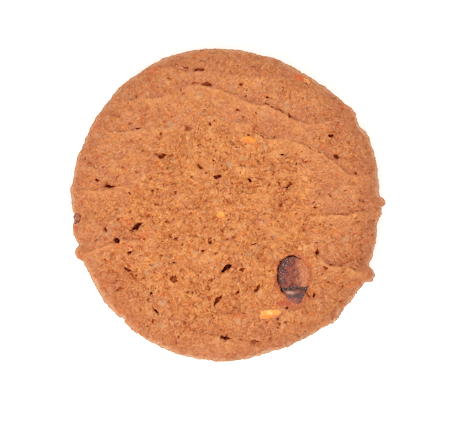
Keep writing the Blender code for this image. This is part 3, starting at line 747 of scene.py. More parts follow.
def keep_shares(mesh, **shares):
    """Keeps numbers at each point of the mesh, for its material to read."""
    for name, values in shares.items():
        layer = mesh.attributes.new(name, "FLOAT", "POINT")
        layer.data.foreach_set("value", np.asarray(values, dtype=np.float32))


def shares_of(mesh, name):
    """Reads back a number that was kept at each point."""
    values = np.empty(len(mesh.vertices), dtype=np.float32)
    mesh.attributes[name].data.foreach_get("value", values)
    return values.astype(float)


def fruit_reach(x, y):
    """0 at the middle of the sunk fruit and 1 at its outline, seen from above."""
    along = (y - FRUIT_Y) / FRUIT_HALF_LENGTH
    lean = FRUIT_LEAN * np.minimum(along, 0.0) ** 2
    half_width = FRUIT_HALF_WIDTH * (1.0 + FRUIT_TAPER * np.clip(along, -1.0, 1.0))
    across = (x - FRUIT_X - lean) / half_width
    return np.hypot(along, across)


def cage_to_dough(a, b, row):
    """Places of the dough's points from those of a square cage: grid, skirt rows and underside rows.

    The grid's square rings become round ones. Returns the places and each point's depth: 0 on the flat top,
    0 to 1 down the shoulder, 1 to 2 down the undercut and 2 to 3 in across the underside.
    """
    reach = np.maximum(np.abs(a), np.abs(b))
    safe = np.maximum(reach, 1e-9)
    wide = np.abs(a) > np.abs(b)
    turn = np.where(wide, math.pi / 4.0 * b / np.where(wide, a, 1.0), 0.0)
    turn = np.where(wide, turn, math.pi / 2.0 - math.pi / 4.0 * a / np.where(wide | (b == 0.0), 1.0, b))
    bearing = np.where(np.where(wide, a, b) < 0.0, turn + math.pi, turn)
    outline = outline_radius(bearing)

    flat = outline - SHOULDER_WIDTH
    drop = SHOULDER_HEIGHT - WIDEST_HEIGHT
    arc = math.pi / 2.0 * math.sqrt((SHOULDER_WIDTH**2 + drop**2) / 2.0)
    along = safe * (flat + arc)
    shoulder = np.clip((along - flat) / arc, 0.0, 1.0)
    angle = shoulder * math.pi / 2.0
    radius = np.where(along < flat, along, flat + SHOULDER_WIDTH * np.sin(angle))
    crown = (MID_HEIGHT - SHOULDER_HEIGHT) * (1.0 - np.minimum(radius / flat, 1.0) ** 2)
    height = SHOULDER_HEIGHT + crown - drop * (1.0 - np.cos(angle))

    undercut = np.clip(row / UNDERCUT_ROWS, 0.0, 1.0)
    low_angle = undercut * math.pi / 2.0
    low_radius = outline_radius(bearing, (1.0 - undercut) ** 2) - FOOT_INSET * (1.0 - np.cos(low_angle))
    low_height = WIDEST_HEIGHT * (1.0 - np.sin(low_angle))
    underside = np.clip((row - UNDERCUT_ROWS) / UNDERSIDE_ROWS, 0.0, 1.0)
    low_radius = low_radius * np.where(underside > 0.0, reach, 1.0)

    skirt = row > 0
    radius = np.where(skirt, low_radius, radius)
    height = np.where(skirt, low_height, height)
    depth = np.where(skirt, 1.0 + undercut + underside, shoulder)
    return np.column_stack((radius * np.cos(bearing), radius * np.sin(bearing), height)), depth


def make_dough_cage():
    """The square cage of the dough as a bmesh: a grid on top, skirt rows, underside rows and a last face."""
    bm = bmesh.new()
    bmesh.ops.create_grid(bm, x_segments=GRID_CELLS, y_segments=GRID_CELLS, size=1.0)
    rim = [edge for edge in bm.edges if edge.is_boundary]
    for row in range(1, UNDERCUT_ROWS + UNDERSIDE_ROWS + 1):
        made = bmesh.ops.extrude_edge_only(bm, edges=rim)["geom"]
        verts = [item for item in made if isinstance(item, bmesh.types.BMVert)]
        rim = [item for item in made if isinstance(item, bmesh.types.BMEdge) and item.is_boundary]
        bmesh.ops.translate(bm, verts=verts, vec=(0.0, 0.0, -1.0))
        if row > UNDERCUT_ROWS:
            left = UNDERSIDE_ROWS + 1.0 - (row - UNDERCUT_ROWS)
            bmesh.ops.scale(bm, verts=verts, vec=(left / (left + 1.0), left / (left + 1.0), 1.0))
    bmesh.ops.edgeloop_fill(bm, edges=rim)
    bmesh.ops.recalc_face_normals(bm, faces=bm.faces)
    return bm


def all_pits():
    """Every pit in the top: x, y, length, width, depth in millimetres, turn in degrees and darkness of its
    painted shade.
    """
    rng = np.random.default_rng(7)
    pits = [(*pit, darkness) for pit, darkness in zip(LARGE_PITS, LARGE_PIT_DARKNESS)]
    for x, y, length, width, turn, darkness in PITS + RIDGE_CRACKS:
        pits.append((x, y, length, width, darkness * (0.25 + 0.6 * width), turn, darkness))
    for _ in range(STRAY_PITS):
        reach = 28.5 * math.sqrt(rng.uniform(0.0, 1.0))
        bearing = rng.uniform(0.0, 2.0 * math.pi)
        length = rng.uniform(0.25, 0.6)
        x, y = reach * math.cos(bearing), reach * math.sin(bearing)
        turn = rng.uniform(0.0, 180.0)
        pits.append((x, y, length, length * rng.uniform(0.4, 0.9), 0.18, turn, rng.uniform(0.25, 0.7)))
    return pits


def along_across(off_x, off_y, length, width, turn):
    """Places along and across a turned patch, as shares of its half length and half width."""
    angle = math.radians(turn)
    along = (off_x * math.cos(angle) + off_y * math.sin(angle)) / (length * MM / 2.0)
    across = (off_y * math.cos(angle) - off_x * math.sin(angle)) / (width * MM / 2.0)
    return along, across


def torn_reach(along, across, rng):
    """Distance from a pit's middle as a share of its outline, which has a few torn arms."""
    bearing = np.arctan2(across, along)
    outline = np.full_like(bearing, 0.80)
    arms = ((0.0, 0.3), (math.pi, 0.3), (rng.uniform(0.0, 6.3), 0.8), (rng.uniform(0.0, 6.3), 0.8))
    for arm, longest in arms:
        off = (bearing - arm - rng.uniform(-0.45, 0.45) + math.pi) % (2.0 * math.pi) - math.pi
        outline += rng.uniform(0.0, longest) * np.exp(-((off / rng.uniform(0.22, 0.42)) ** 2))
    return np.hypot(along, across) / outline


def pit_shares(points):
    """For each point the depth of the pits, how far it is inside one and how dark that one is painted as
    shade.

    How far inside is 0.5 on a pit's outline and falls or rises by 1 over PIT_EDGE.
    """
    rng = np.random.default_rng(29)
    warp_x = noise_at(points, 0.9 * MM, octaves=3, seed=11.0) * PIT_WARP
    warp_y = noise_at(points, 0.9 * MM, octaves=3, seed=31.0) * PIT_WARP
    mottled = 0.66 + 0.34 * smoothstep(0.5 + 1.5 * noise_at(points, 0.6 * MM, octaves=2, seed=37.0))
    depth_total = np.zeros(len(points))
    inside_total = np.zeros(len(points))
    dark_total = np.zeros(len(points))
    on_top_side = points[:, 2] > WIDEST_HEIGHT
    for x, y, length, width, depth, turn, darkness in all_pits():
        off_x = points[:, 0] - x * MM
        off_y = points[:, 1] - y * MM
        span = length * MM + PIT_WARP
        near = np.flatnonzero((np.abs(off_x) < span) & (np.abs(off_y) < span) & on_top_side)
        middle = near[np.argmin(np.hypot(off_x[near], off_y[near]))]
        off_x = off_x[near] + warp_x[near] - warp_x[middle]
        off_y = off_y[near] + warp_y[near] - warp_y[middle]
        along, across = along_across(off_x, off_y, length, width, turn)
        inside = 0.5 + (1.0 - torn_reach(along, across, rng)) * 0.5 * width * MM / PIT_EDGE
        inside = np.clip(inside, 0.0, 1.0)
        hole = smoothstep((inside - 0.2) / 0.5)
        depth_total[near] = np.maximum(depth_total[near], hole * depth * MM)
        nearest = inside > inside_total[near]
        dark_total[near] = np.where(nearest, darkness * mottled[near], dark_total[near])
        inside_total[near] = np.maximum(inside_total[near], inside)
    return depth_total, inside_total, dark_total


def patch_shares(points, patches, warp_seed):
    """How much each point of the top lies in soft patches: x, y, length, width, turn and strength."""
    warp_x = noise_at(points, 1.1 * MM, octaves=2, seed=warp_seed) * 0.35 * MM
    warp_y = noise_at(points, 1.1 * MM, octaves=2, seed=warp_seed + 10.0) * 0.35 * MM
    share = np.zeros(len(points))
    on_top_side = points[:, 2] > WIDEST_HEIGHT
    for x, y, length, width, turn, strength in patches:
        off_x = points[:, 0] - x * MM
        off_y = points[:, 1] - y * MM
        near = np.flatnonzero((np.hypot(off_x, off_y) < max(length, width) * MM) & on_top_side)
        off_x = off_x[near] + warp_x[near]
        off_y = off_y[near] + warp_y[near]
        along, across = along_across(off_x, off_y, length, width, turn)
        reach = np.hypot(along, across)
        share[near] = np.maximum(share[near], strength * (1.0 - smoothstep((reach - 0.6) / 0.6)))
    return share


def all_flakes():
    """Every pale flake as a patch, the ones read from the photograph and some scattered between them."""
    rng = np.random.default_rng(19)
    flakes = list(FLAKES)
    for _ in range(STRAY_FLAKES):
        reach = 29.5 * math.sqrt(rng.uniform(0.0, 1.0))
        bearing = rng.uniform(0.0, 2.0 * math.pi)
        flakes.append((reach * math.cos(bearing), reach * math.sin(bearing), rng.uniform(0.6, 1.2)))
    for x, y, size in flakes:
        yield x, y, size, size * rng.uniform(0.55, 0.85), rng.uniform(0.0, 180.0), rng.uniform(0.6, 1.0)


def zones_of(x, y, depth):
    """How much each point is outside the torn part, in the darker rim, which is painted shade on the near
    side, and in rough crumb.
    """
    warp = TORN_WARP * noise_at(on_plane(x, y), 5.0 * MM, octaves=2, seed=61.0)
    from_torn = np.hypot(x - TORN_X, y - TORN_Y) + warp
    outer = smoothstep((from_torn - TORN_RADIUS) / TORN_FADE)
    swing = NEAR_SIDE_SHARE - NEAR_SIDE_SWING * np.sin(np.arctan2(y, x) - NEAR_SIDE_TURN)
    near_side = smoothstep((np.hypot(x, y) - NEAR_SIDE_START) / NEAR_SIDE_FADE) * swing
    shoulder = smoothstep((depth - 0.5) / 0.3)
    crumbly = 1.0 - outer * (0.52 - 0.42 * near_side - 0.10 * shoulder)
    return outer, near_side, crumbly


def drag_relief(flat_points, wobble):
    """Height in millimetres of the fine streaks that the wire left, which are longer from left to right."""
    dragged = flat_points * np.array((0.36, 1.0, 1.0)) + wobble[:, None] * np.array((0.0, 1.2, 0.0))
    drag = smoothstep(0.5 + noise_at(dragged, 1.5 * MM, octaves=3, seed=71.0) / 0.5) - 0.5
    fine_drag = noise_at(dragged, 0.6 * MM, octaves=2, seed=77.0)
    return DRAG_HEIGHT * drag + FINE_DRAG_HEIGHT * fine_drag


def crumb_relief(points):
    """Height of the crumb in millimetres, and the shares of hollows, of cracks and of facets."""
    warp = np.column_stack([noise_at(points, 1.6 * MM, octaves=2, seed=seed) for seed in (81.0, 83.0, 87.0)])
    torn, torn_border = facets_at(points + warp * 0.6 * MM, TORN_PIECE_SIZE, 1.6, seed=5.0)
    grains, grain_border = facets_at(points + warp * 0.3 * MM, GRAIN_SIZE, 2.2, seed=8.0)
    patchy = smoothstep(0.5 + 0.9 * noise_at(points, 4.0 * MM, seed=17.0))
    crevice = np.exp(-((torn_border / 0.05) ** 2)) * patchy
    fine_crevice = np.exp(-((grain_border / 0.11) ** 2))
    ragged = noise_at(points, 0.9 * MM, octaves=4, seed=23.0)
    hollow = smoothstep((-0.42 - ragged) / 0.35) * (0.35 + 0.65 * patchy)
    height = TORN_PIECE_HEIGHT * torn + GRAIN_HEIGHT * grains
    height = height - TORN_CRACK_DEPTH * crevice - GRAIN_CRACK_DEPTH * fine_crevice
    height = height + RAGGED_HEIGHT * ragged - HOLLOW_DEPTH * hollow
    return height, hollow, np.maximum(crevice, 0.6 * fine_crevice * patchy), torn + grains


def fruit_bed(x, y, depth):
    """How much each point lies in the sunk fruit's bed, which dough laps over in places, and its stain."""
    reach = fruit_reach(x, y) + 0.07 * noise_at(on_plane(x, y), 1.0 * MM, octaves=3, seed=41.0)
    film = smoothstep((x - FRUIT_X) / (2.0 * MM)) * smoothstep((y - FRUIT_Y + 1.5 * MM) / (1.5 * MM))
    film = np.maximum(film, 0.6 * smoothstep((FRUIT_Y - 2.4 * MM - y) / (1.0 * MM)))
    bed = (1.0 - smoothstep((reach - 0.97 + 0.22 * film) / 0.12)) * (depth < 1.0)
    stain = (1.0 - smoothstep((reach - 1.0) / 0.35)) * (depth < 1.0)
    return bed, stain


def peel_beds(x, y, depth):
    """For each bit of peel, how much each point lies under it."""
    for peel_x, peel_y, length, width, _, turn in PEEL_BITS.values():
        along, across = along_across(x - peel_x * MM, y - peel_y * MM, length, width, turn)
        yield (1.0 - smoothstep((np.hypot(along, across) - 0.58) / 0.24)) * (depth < 1.0)


def make_dough(finish):
    """The baked dough: cage, ridges, lumps, crumb and pits, with the shares that its finish reads."""
    piece = finish_piece("baked_dough", make_dough_cage(), finish, "baked_dough", "cookie_body")
    mesh = piece.data
    cage = points_of(mesh)
    points, depth = cage_to_dough(cage[:, 0], cage[:, 1], -np.round(cage[:, 2]))
    move_points(mesh, points)
    normals = normals_of(mesh)
    x, y = points[:, 0], points[:, 1]
    flat_points = on_plane(x, y)
    top = 1.0 - np.clip(depth, 0.0, 1.0)
    above = 1.0 - smoothstep((depth - 0.75) / 0.3)
    not_under = 1.0 - smoothstep((depth - 1.55) / 0.45)
    outer, near_side, crumbly = zones_of(x, y, depth)

    wobble = sum(size * noise_at(flat_points, wavelength, seed=3.0) for wavelength, size in RIDGE_WOBBLE)
    ridges, lip, groove, behind = ridge_relief(x, y, wobble)
    whole = smoothstep(0.55 + 1.1 * noise_at(flat_points, 3.0 * MM, octaves=3, seed=33.0))
    relief = top * (ridges * (0.5 + 0.8 * whole) + lumps(flat_points, LUMPS))
    flank = smoothstep(depth) * (1.0 - smoothstep(depth - 1.4))
    relief += flank * lumps(points, FLANK_LUMPS)
    relief += top * drag_relief(flat_points, wobble) * MM

    pit_depth, pit, pit_tone = pit_shares(points)
    flake = patch_shares(points, all_flakes(), 51.0) * top**0.3
    crumb, hollow, crack, facet = crumb_relief(points)
    crumb = crumbly * crumb * (1.0 - 0.8 * flake) * MM
    relief += not_under * crumb - top**0.5 * pit_depth
    bed, stain = fruit_bed(x, y, depth)
    relief -= bed * FRUIT_BED_DEPTH
    for under in peel_beds(x, y, depth):
        relief = relief * (1.0 - under) - under * PEEL_BED_DEPTH

    moved = points + normals * relief[:, None]
    moved[:, 2] = np.maximum(moved[:, 2], np.where(depth >= 2.0, 0.0, OFF_FLOOR))
    move_points(mesh, moved)
    # Shares that the finish reads, among them where it paints highlights on the lips and shade in grooves,
    # crevices, hollows and pits
    keep_shares(
        mesh,
        depth=depth,
        outer=outer,
        near_side=near_side,
        pit=pit * top**0.5,
        pit_tone=pit_tone,
        hollow=crumbly * hollow * not_under,
        lip=lip * top,
        groove=groove * top * (0.15 + 1.05 * whole),
        behind=behind * top,
        flake=flake,
        toast=above * patch_shares(points, TOASTED, 91.0),
        skin=above * patch_shares(points, SKIN_SCRAPS, 107.0),
        crevice=crumbly * not_under * crack,
        facet=0.5 + crumbly * not_under * facet,
        stain=np.maximum(stain, 1.6 * above * patch_shares(points, FRUIT_STAINS, 97.0)),
    )
    return piece


def tint(finish, tone, name, share):
    """Lays one of the dough's tones over a colour."""
    return finish.mix(share, tone, color(*DOUGH_TONES[name]))


def tint_zones(finish, tone):
    """Mauve, more of it behind the ridges as painted shade, orange in the torn part, darker outside it,
    glowing and pinkish spots.
    """
    outer = finish.attribute("outer")
    broad = finish.noise(0.20, detail=2.0, shift=3.0)
    glow = finish.noise(0.9, detail=2.0, shift=55.0)
    pinkish = finish.noise(0.75, detail=2.0, shift=63.0)
    # More mauve behind the ridges: painted shade
    mauve = finish.ramp(broad + finish.attribute("behind") * 0.30 + outer * 0.06, 0.48, 0.80)
    tone = tint(finish, tone, "mauve", mauve * 0.60)
    tone = tint(finish, tone, "torn part", (1.0 - outer) * 0.22)
    tone = tint(finish, tone, "outer part", outer * 0.21)
    # The rim darker: its own colour, plus painted shade that is strongest on the near side, against the
    # lamp's light
    tone = tint(finish, tone, "rim", finish.attribute("near_side") * 0.42)
    tone = tint(finish, tone, "glow", finish.ramp(glow, 0.56, 0.70) * 0.65)
    return tint(finish, tone, "pinkish", finish.ramp(pinkish, 0.56, 0.68) * 0.55)


def tint_crumb(finish, tone, grain, cells, curdled):
    """Light and dark grains and facets, painted with the relief as light and shade, granules with painted
    shade in the cracks between them, and flecks.
    """
    granule = finish.grains(CELL_SCALE)
    broken = finish.ramp(finish.noise(0.8, detail=2.0, shift=70.0), 0.46, 0.58)
    crack = finish.ramp(cells, 0.11, 0.02) * broken * (0.35 + curdled * 0.65)
    facet = finish.attribute("facet")
    flecks = finish.noise(0.9, detail=1.0, shift=40.0)
    # Lighter on the high grain and darker on the low, where the same noise raises the bump: painted light and
    # shade
    tone = tint(finish, tone, "light grain highlight", finish.ramp(grain, 0.51, 0.69) * 0.78)
    tone = tint(finish, tone, "dark grain shade", finish.ramp(grain, 0.45, 0.28) * 0.84)
    tone = tint(finish, tone, "light granule", finish.ramp(granule, 0.45, 0.95) * (0.15 + curdled * 0.45))
    tone = tint(finish, tone, "dark granule", finish.ramp(granule, 0.40, 0.05) * (0.15 + curdled * 0.35))
    # Painted shade in the cracks between the granules
    tone = tint(finish, tone, "crack", crack * 0.70)
    tone = tint(finish, tone, "fine crack shade", finish.ramp(finish.cells(3.0), 0.12, 0.02) * 0.22)
    # Facets lighter where they stand high and darker where low: painted light and shade
    tone = tint(finish, tone, "high facet highlight", finish.ramp(facet, 0.6, 1.1) * 0.28)
    tone = tint(finish, tone, "low facet shade", finish.ramp(facet, 0.4, -0.1) * 0.28)
    return tint(finish, tone, "fleck", finish.ramp(flecks, 0.66, 0.74) * 0.35)


def tint_top(finish, tone, depth, near_side):
    """Flakes, painted highlights on the ridges' lips and painted shade behind them, in their grooves and
    crevices, the browner shoulder with painted shade on the near side, and toasted patches.
    """
    tone = tint(finish, tone, "flake", finish.attribute("flake") * 0.42)
    # Painted highlight on the lips; painted shade behind them and in the grooves
    tone = tint(finish, tone, "lip", finish.attribute("lip") * 0.70)
    tone = tint(finish, tone, "shade behind a lip", finish.attribute("behind") * 0.16)
    tone = tint(finish, tone, "groove", finish.attribute("groove") * 0.42)
    # Painted shade in the crevices of the crumb
    tone = tint(finish, tone, "crevice", finish.attribute("crevice") * 0.6)
    # The shoulder browner: browned crust plus painted shade, stronger on the near side against the lamp's
    # light
    tone = tint(finish, tone, "shoulder", finish.ramp(depth, 0.0, 0.50) * (0.22 + near_side * 0.24))
    return tint(finish, tone, "toast", finish.attribute("toast") * 0.60)


def tint_edge(finish, tone, depth, near_side, middle, grain):
    """The pale edge, the blotched flank, a thin grey line of painted shade at the widest place and the
    underside.
    """
    pale = finish.ramp(depth + (grain - 0.5) * 0.25 + (middle - 0.5) * 0.5, 0.58, 0.84)
    blotch = finish.ramp(middle + (grain - 0.5) * 0.4, 0.44, 0.62)
    line = finish.ramp(depth, 0.84, 0.98) * finish.ramp(depth, 1.12, 1.0)
    tone = tint(finish, tone, "pale edge", pale * (0.36 + near_side * 0.52))
    tone = tint(finish, tone, "flank", finish.ramp(depth, 0.92, 1.30) * (0.22 + blotch * 0.50))
    # Painted shade along the widest place
    tone = tint(finish, tone, "line", line * 0.16)
    return tint(finish, tone, "underside", finish.ramp(depth, 1.75, 2.05) * 0.85)


def tint_marks(finish, tone, grain):
    """What the fruit stained, scraps of its skin, and painted shade, brown to dark, in the hollows and pits.
    """
    skin = finish.ramp(finish.attribute("skin") + (grain - 0.5) * 2.4, 0.50, 0.90)
    hollow = finish.attribute("hollow") + (grain - 0.5) * 0.5
    pit = finish.attribute("pit") + (grain - 0.5) * 0.30
    darkness = finish.attribute("pit_tone")
    tone = tint(finish, tone, "stain", finish.attribute("stain") * 0.45)
    tone = tint(finish, tone, "skin", skin * 0.70)
    # Painted shade in the hollows and pits, over their real depth
    tone = tint(finish, tone, "hollow", finish.ramp(hollow, 0.30, 0.62) * 0.7)
    tone = tint(finish, tone, "pit edge shade", finish.ramp(pit, 0.44, 0.58) * finish.ramp(darkness, 0.0, 0.55))
    return tint(finish, tone, "pit", finish.ramp(pit, 0.53, 0.72) * finish.ramp(darkness, 0.38, 0.95))


def make_dough_finish():
    """Baked dough: orange-brown crumb, pinker and darker outside, paler on the flank, with painted highlights
    and painted shade such as in the pits.
    """
    finish = Finish("baked_dough", roughness=0.80, specular=0.3)
    middle = finish.noise(0.70, detail=3.0, shift=9.0)
    grain = finish.noise(2.6, detail=4.0, roughness=0.7, shift=21.0)
    cells = finish.cells(CELL_SCALE)
    curdled = finish.ramp(finish.noise(0.26, detail=2.0, shift=60.0), 0.44, 0.60)
    curdled = curdled * (1.0 - finish.attribute("outer") * 0.75)
    depth = finish.attribute("depth")
    near_side = finish.attribute("near_side")

    low, high = color(*DOUGH_TONES["low crumb"]), color(*DOUGH_TONES["high crumb"])
    tone = finish.mix(finish.ramp(middle, 0.35, 0.65), low, high)
    tone = tint_zones(finish, tone)
    tone = tint_crumb(finish, tone, grain, cells, curdled)
    tone = tint_top(finish, tone, depth, near_side)
    tone = tint_edge(finish, tone, depth, near_side, middle, grain)
    tone = tint_marks(finish, tone, grain)
    finish.set("Base Color", tone)
    height = grain + finish.noise(4.5, detail=2.0, shift=5.0) * 0.6
    height = height + finish.ramp(cells, 0.0, 0.22) * (0.15 + curdled * 0.35)
    finish.set("Normal", finish.bump(height, 0.17 * MM, 1.0))
    return finish


def lens(bm, place, half_sizes, subdivisions):
    """Adds a squashed ball to the bmesh."""
    scale = Matrix.Diagonal((*half_sizes, 1.0))
    bmesh.ops.create_icosphere(bm, subdivisions=subdivisions, radius=1.0, matrix=place @ scale)


def make_peel_bits(finish):
    """Thin bits of peel, nearly flush with the top."""
    for name, (x, y, length, width, thickness, turn) in PEEL_BITS.items():
        half_sizes = (length * MM / 2.0, width * MM / 2.0, thickness * MM / 2.0)
        bm = bmesh.new()
        lens(bm, Matrix.Identity(4), half_sizes, 5)
        piece = finish_piece(name, bm, finish, "candied_peel", "cookie_body")
        points = points_of(piece.data)
        along, across = points[:, 0] / half_sizes[0], points[:, 1] / half_sizes[1]
        points[:, 1] *= 1.0 - PEEL_TAPER[name] * along
        ragged = noise_at(points, 0.8 * MM, octaves=2, seed=x)
        lit_end = smoothstep((across + 0.6 * along + 0.3 * ragged + 0.5) / 0.7)
        keep_shares(
            piece.data,
            edge=smoothstep((np.hypot(along, across) + 0.2 * ragged - 0.62) / 0.36),
            shaded=smoothstep((-across + 0.4 * ragged - 0.25) / 0.5),
            pale=PEEL_PALENESS[name] * lit_end,
        )
        points[:, 2] *= 0.75 + 0.25 * smoothstep(1.0 - np.abs(along))
        rough = noise_at(points, 0.7 * MM, octaves=2, seed=2.0) * PEEL_ROUGHNESS[name]
        points += normals_of(piece.data) * rough[:, None]
        move_points(piece.data, points)
        piece.data.transform(on_top(x * MM, y * MM, turn, PEEL_PROUD - half_sizes[2]))


def make_peel_finish():
    """Candied peel: waxy orange or pale, browner at its lower edge as painted shade, with dough smeared over
    its border.
    """
    finish = Finish("candied_peel", roughness=0.42)
    patch = finish.noise(0.9, detail=2.0)
    grain = finish.noise(2.6, detail=3.0, roughness=0.7, shift=21.0)
    patchy = finish.ramp(patch, 0.35, 0.65)
    tone = finish.mix(patchy, color(246, 138, 36), color(252, 158, 56))
    pale = finish.mix(patchy, color(246, 170, 80), color(254, 196, 112))
    dough_tone = finish.mix(finish.ramp(grain, 0.3, 0.7), color(214, 124, 66), color(238, 158, 94))
    tone = finish.mix(finish.attribute("pale"), tone, pale)
    # Painted shade along the lower side
    tone = finish.mix(finish.attribute("shaded") * 0.7, tone, color(224, 104, 28))
    smeared = finish.ramp(finish.attribute("edge") + (grain - 0.5) * 0.8, 0.25, 0.75)
    finish.set("Base Color", finish.mix(smeared, tone, dough_tone))
    finish.set("Normal", finish.bump(finish.noise(3.0, detail=2.0) + smeared * 0.4, 0.10 * MM, 0.8))
    return finish


def fruit_form(way):
    """Places of the sunk fruit's points from those of a ball, and their shares of its two folds."""
    along, up = way[:, 1], way[:, 2]
    lean = FRUIT_LEAN * np.minimum(along, 0.0) ** 2
    x = FRUIT_HALF_WIDTH * way[:, 0] * (1.0 + FRUIT_TAPER * along) + lean
    y = FRUIT_HALF_LENGTH * along
    z = np.where(up > 0.0, FRUIT_CROWN * np.abs(up) ** 0.6, FRUIT_ROOT * up)
    bend = 0.5 * noise_at(on_plane(x, y), 1.6 * MM, octaves=2, seed=14.0) * MM
    past_fold = y + bend - FRUIT_FOLD_Y
    fold = np.exp(-((past_fold / FRUIT_FOLD_WIDTH) ** 2))
    second_fold = np.exp(-(((past_fold + FRUIT_SECOND_FOLD_OFF) / FRUIT_SECOND_FOLD_WIDTH) ** 2))
    folded = FRUIT_FOLD_DEPTH * fold + FRUIT_SECOND_FOLD_DEPTH * second_fold
    points = np.column_stack((x, y, z - folded * np.maximum(up, 0.0)))
    creased = 1.0 - np.abs(noise_at(points, 1.0 * MM, octaves=2, seed=4.0)) * 3.0
    wrinkle = noise_at(points, 1.5 * MM) * 0.20 + np.maximum(creased, 0.0) * 0.10
    wrinkle += noise_at(points, 0.45 * MM, octaves=3, seed=9.0) * 0.06
    level = top_height(FRUIT_X, FRUIT_Y)[0] - FRUIT_SINK
    points = points + way * wrinkle[:, None] * MM + np.array((FRUIT_X, FRUIT_Y, level))
    return points, fold, second_fold


def fruit_shares(points, fold, second_fold):
    """What the fruit's finish reads. The offsets are in millimetres from the middle of its far part."""
    off_x = (points[:, 0] - FRUIT_DISC_X) / MM
    off_y = (points[:, 1] - FRUIT_DISC_Y) / MM
    reach = np.hypot(off_x, off_y) * MM / FRUIT_DISC_RADIUS
    left = smoothstep(0.55 - 0.80 * np.cos(np.arctan2(off_y, off_x) + math.radians(45.0)))
    ragged = noise_at(points, 0.7 * MM, octaves=3, seed=44.0)
    # The purple skin, where glints are also painted
    dusty = smoothstep((reach + 0.3 * ragged - 0.35) / 0.3)
    dusty = dusty * smoothstep((0.9 - off_x + off_y + 1.2 * ragged) / 1.6)
    dusty = dusty * smoothstep((0.9 - off_x + 0.8 * ragged) / 1.6)
    # A small highlight painted between the two folds
    fold_highlight = np.exp(-(((off_x + 0.5) / 0.85) ** 2) - ((off_y + 3.85 + 0.3 * ragged) / 0.30) ** 2)
    return {
        "fold": np.maximum(fold, 0.8 * second_fold),
        # The dark rind: the skin's edge, plus painted shade of the gap along it
        "rind": smoothstep((reach + 0.06 * ragged - 0.88) / 0.08) * left * (off_y > -3.2),
        "flesh": smoothstep((off_x + 0.2 + 1.3 * ragged) / 2.2) * (off_y > -2.8),
        "film": smoothstep((off_x - 0.5 + 1.3 * ragged) / 1.8) * (off_y > -2.8),
        "lobe": smoothstep((-off_y - 3.6) / 0.8),
        "dusty": np.maximum(dusty, 0.7 * fold),
        "fold_highlight": fold_highlight,
        "bloom": smoothstep((-off_x - off_y - 4.6 + 1.4 * ragged) / 1.2) * (off_y < -3.4),
    }


def make_fruit(finish):
    """The sunk dried fruit: a flat crown over a deeper root, a narrower lower lobe, a fold and wrinkles."""
    bm = bmesh.new()
    bmesh.ops.create_icosphere(bm, subdivisions=7, radius=1.0)
    piece = finish_piece("sunk_fruit", bm, finish, "dried_fruit", "dried_fruit")
    points, fold, second_fold = fruit_form(points_of(piece.data))
    move_points(piece.data, points)
    keep_shares(piece.data, **fruit_shares(points, fold, second_fold))
    return piece


def make_fruit_finish():
    """Dried fruit: brown-red flesh, purple skin on the left with painted glints, a thin dark rind and painted
    shade, a grey-blue fold.
    """
    finish = Finish("dried_fruit", roughness=0.40, specular=0.4)
    patch = finish.noise(0.9, detail=3.0)
    fine = finish.noise(2.6, detail=3.0, roughness=0.75, shift=12.0)
    specks = finish.noise(3.6, detail=2.0, roughness=0.8, shift=31.0)
    dusty = finish.attribute("dusty")
    film = finish.attribute("film")
    tone = finish.mix(finish.ramp(patch, 0.35, 0.62), color(120, 48, 34), color(168, 84, 60))
    tone = finish.mix(finish.attribute("flesh") * 0.8, tone, color(212, 128, 88))
    dough_tone = finish.mix(finish.ramp(fine, 0.36, 0.62), color(206, 116, 70), color(230, 146, 94))
    tone = finish.mix(film * 0.75, tone, dough_tone)
    tone = finish.mix(dusty * 0.7, tone, color(98, 64, 60))
    tone = finish.mix(finish.attribute("lobe") * 0.7, tone, color(124, 82, 78))
    tone = finish.mix(finish.attribute("bloom") * 0.55, tone, color(206, 110, 88))
    # Darker where the fine noise, which also raises the bump, is low: the fruit's specks plus painted shade
    # in its wrinkles
    specks_and_wrinkle_shade = finish.ramp(fine, 0.47, 0.34) * (0.60 - film * 0.40)
    tone = finish.mix(specks_and_wrinkle_shade, tone, color(88, 28, 20))
    tone = finish.mix(finish.ramp(specks, 0.42, 0.34) * dusty * 0.8, tone, color(54, 34, 36))
    # Dark rind: the skin's edge plus painted shade of the gap along it
    tone = finish.mix(finish.attribute("rind") * 0.8, tone, color(92, 30, 18))
    tone = finish.mix(finish.attribute("fold") * 0.75, tone, color(66, 60, 58))
    # Painted highlight between the folds
    tone = finish.mix(finish.attribute("fold_highlight") * 0.85, tone, color(222, 168, 146))
    # Light grey painted glints, mostly on the purple skin
    tone = finish.mix(finish.ramp(specks, 0.57, 0.65) * (0.15 + dusty * 0.75), tone, color(214, 192, 180))
    finish.set("Base Color", tone)
    height = fine + finish.noise(6.0, detail=2.0, shift=2.0) * 0.4
    finish.set("Normal", finish.bump(height, 0.22 * MM, 1.0))
    return finish


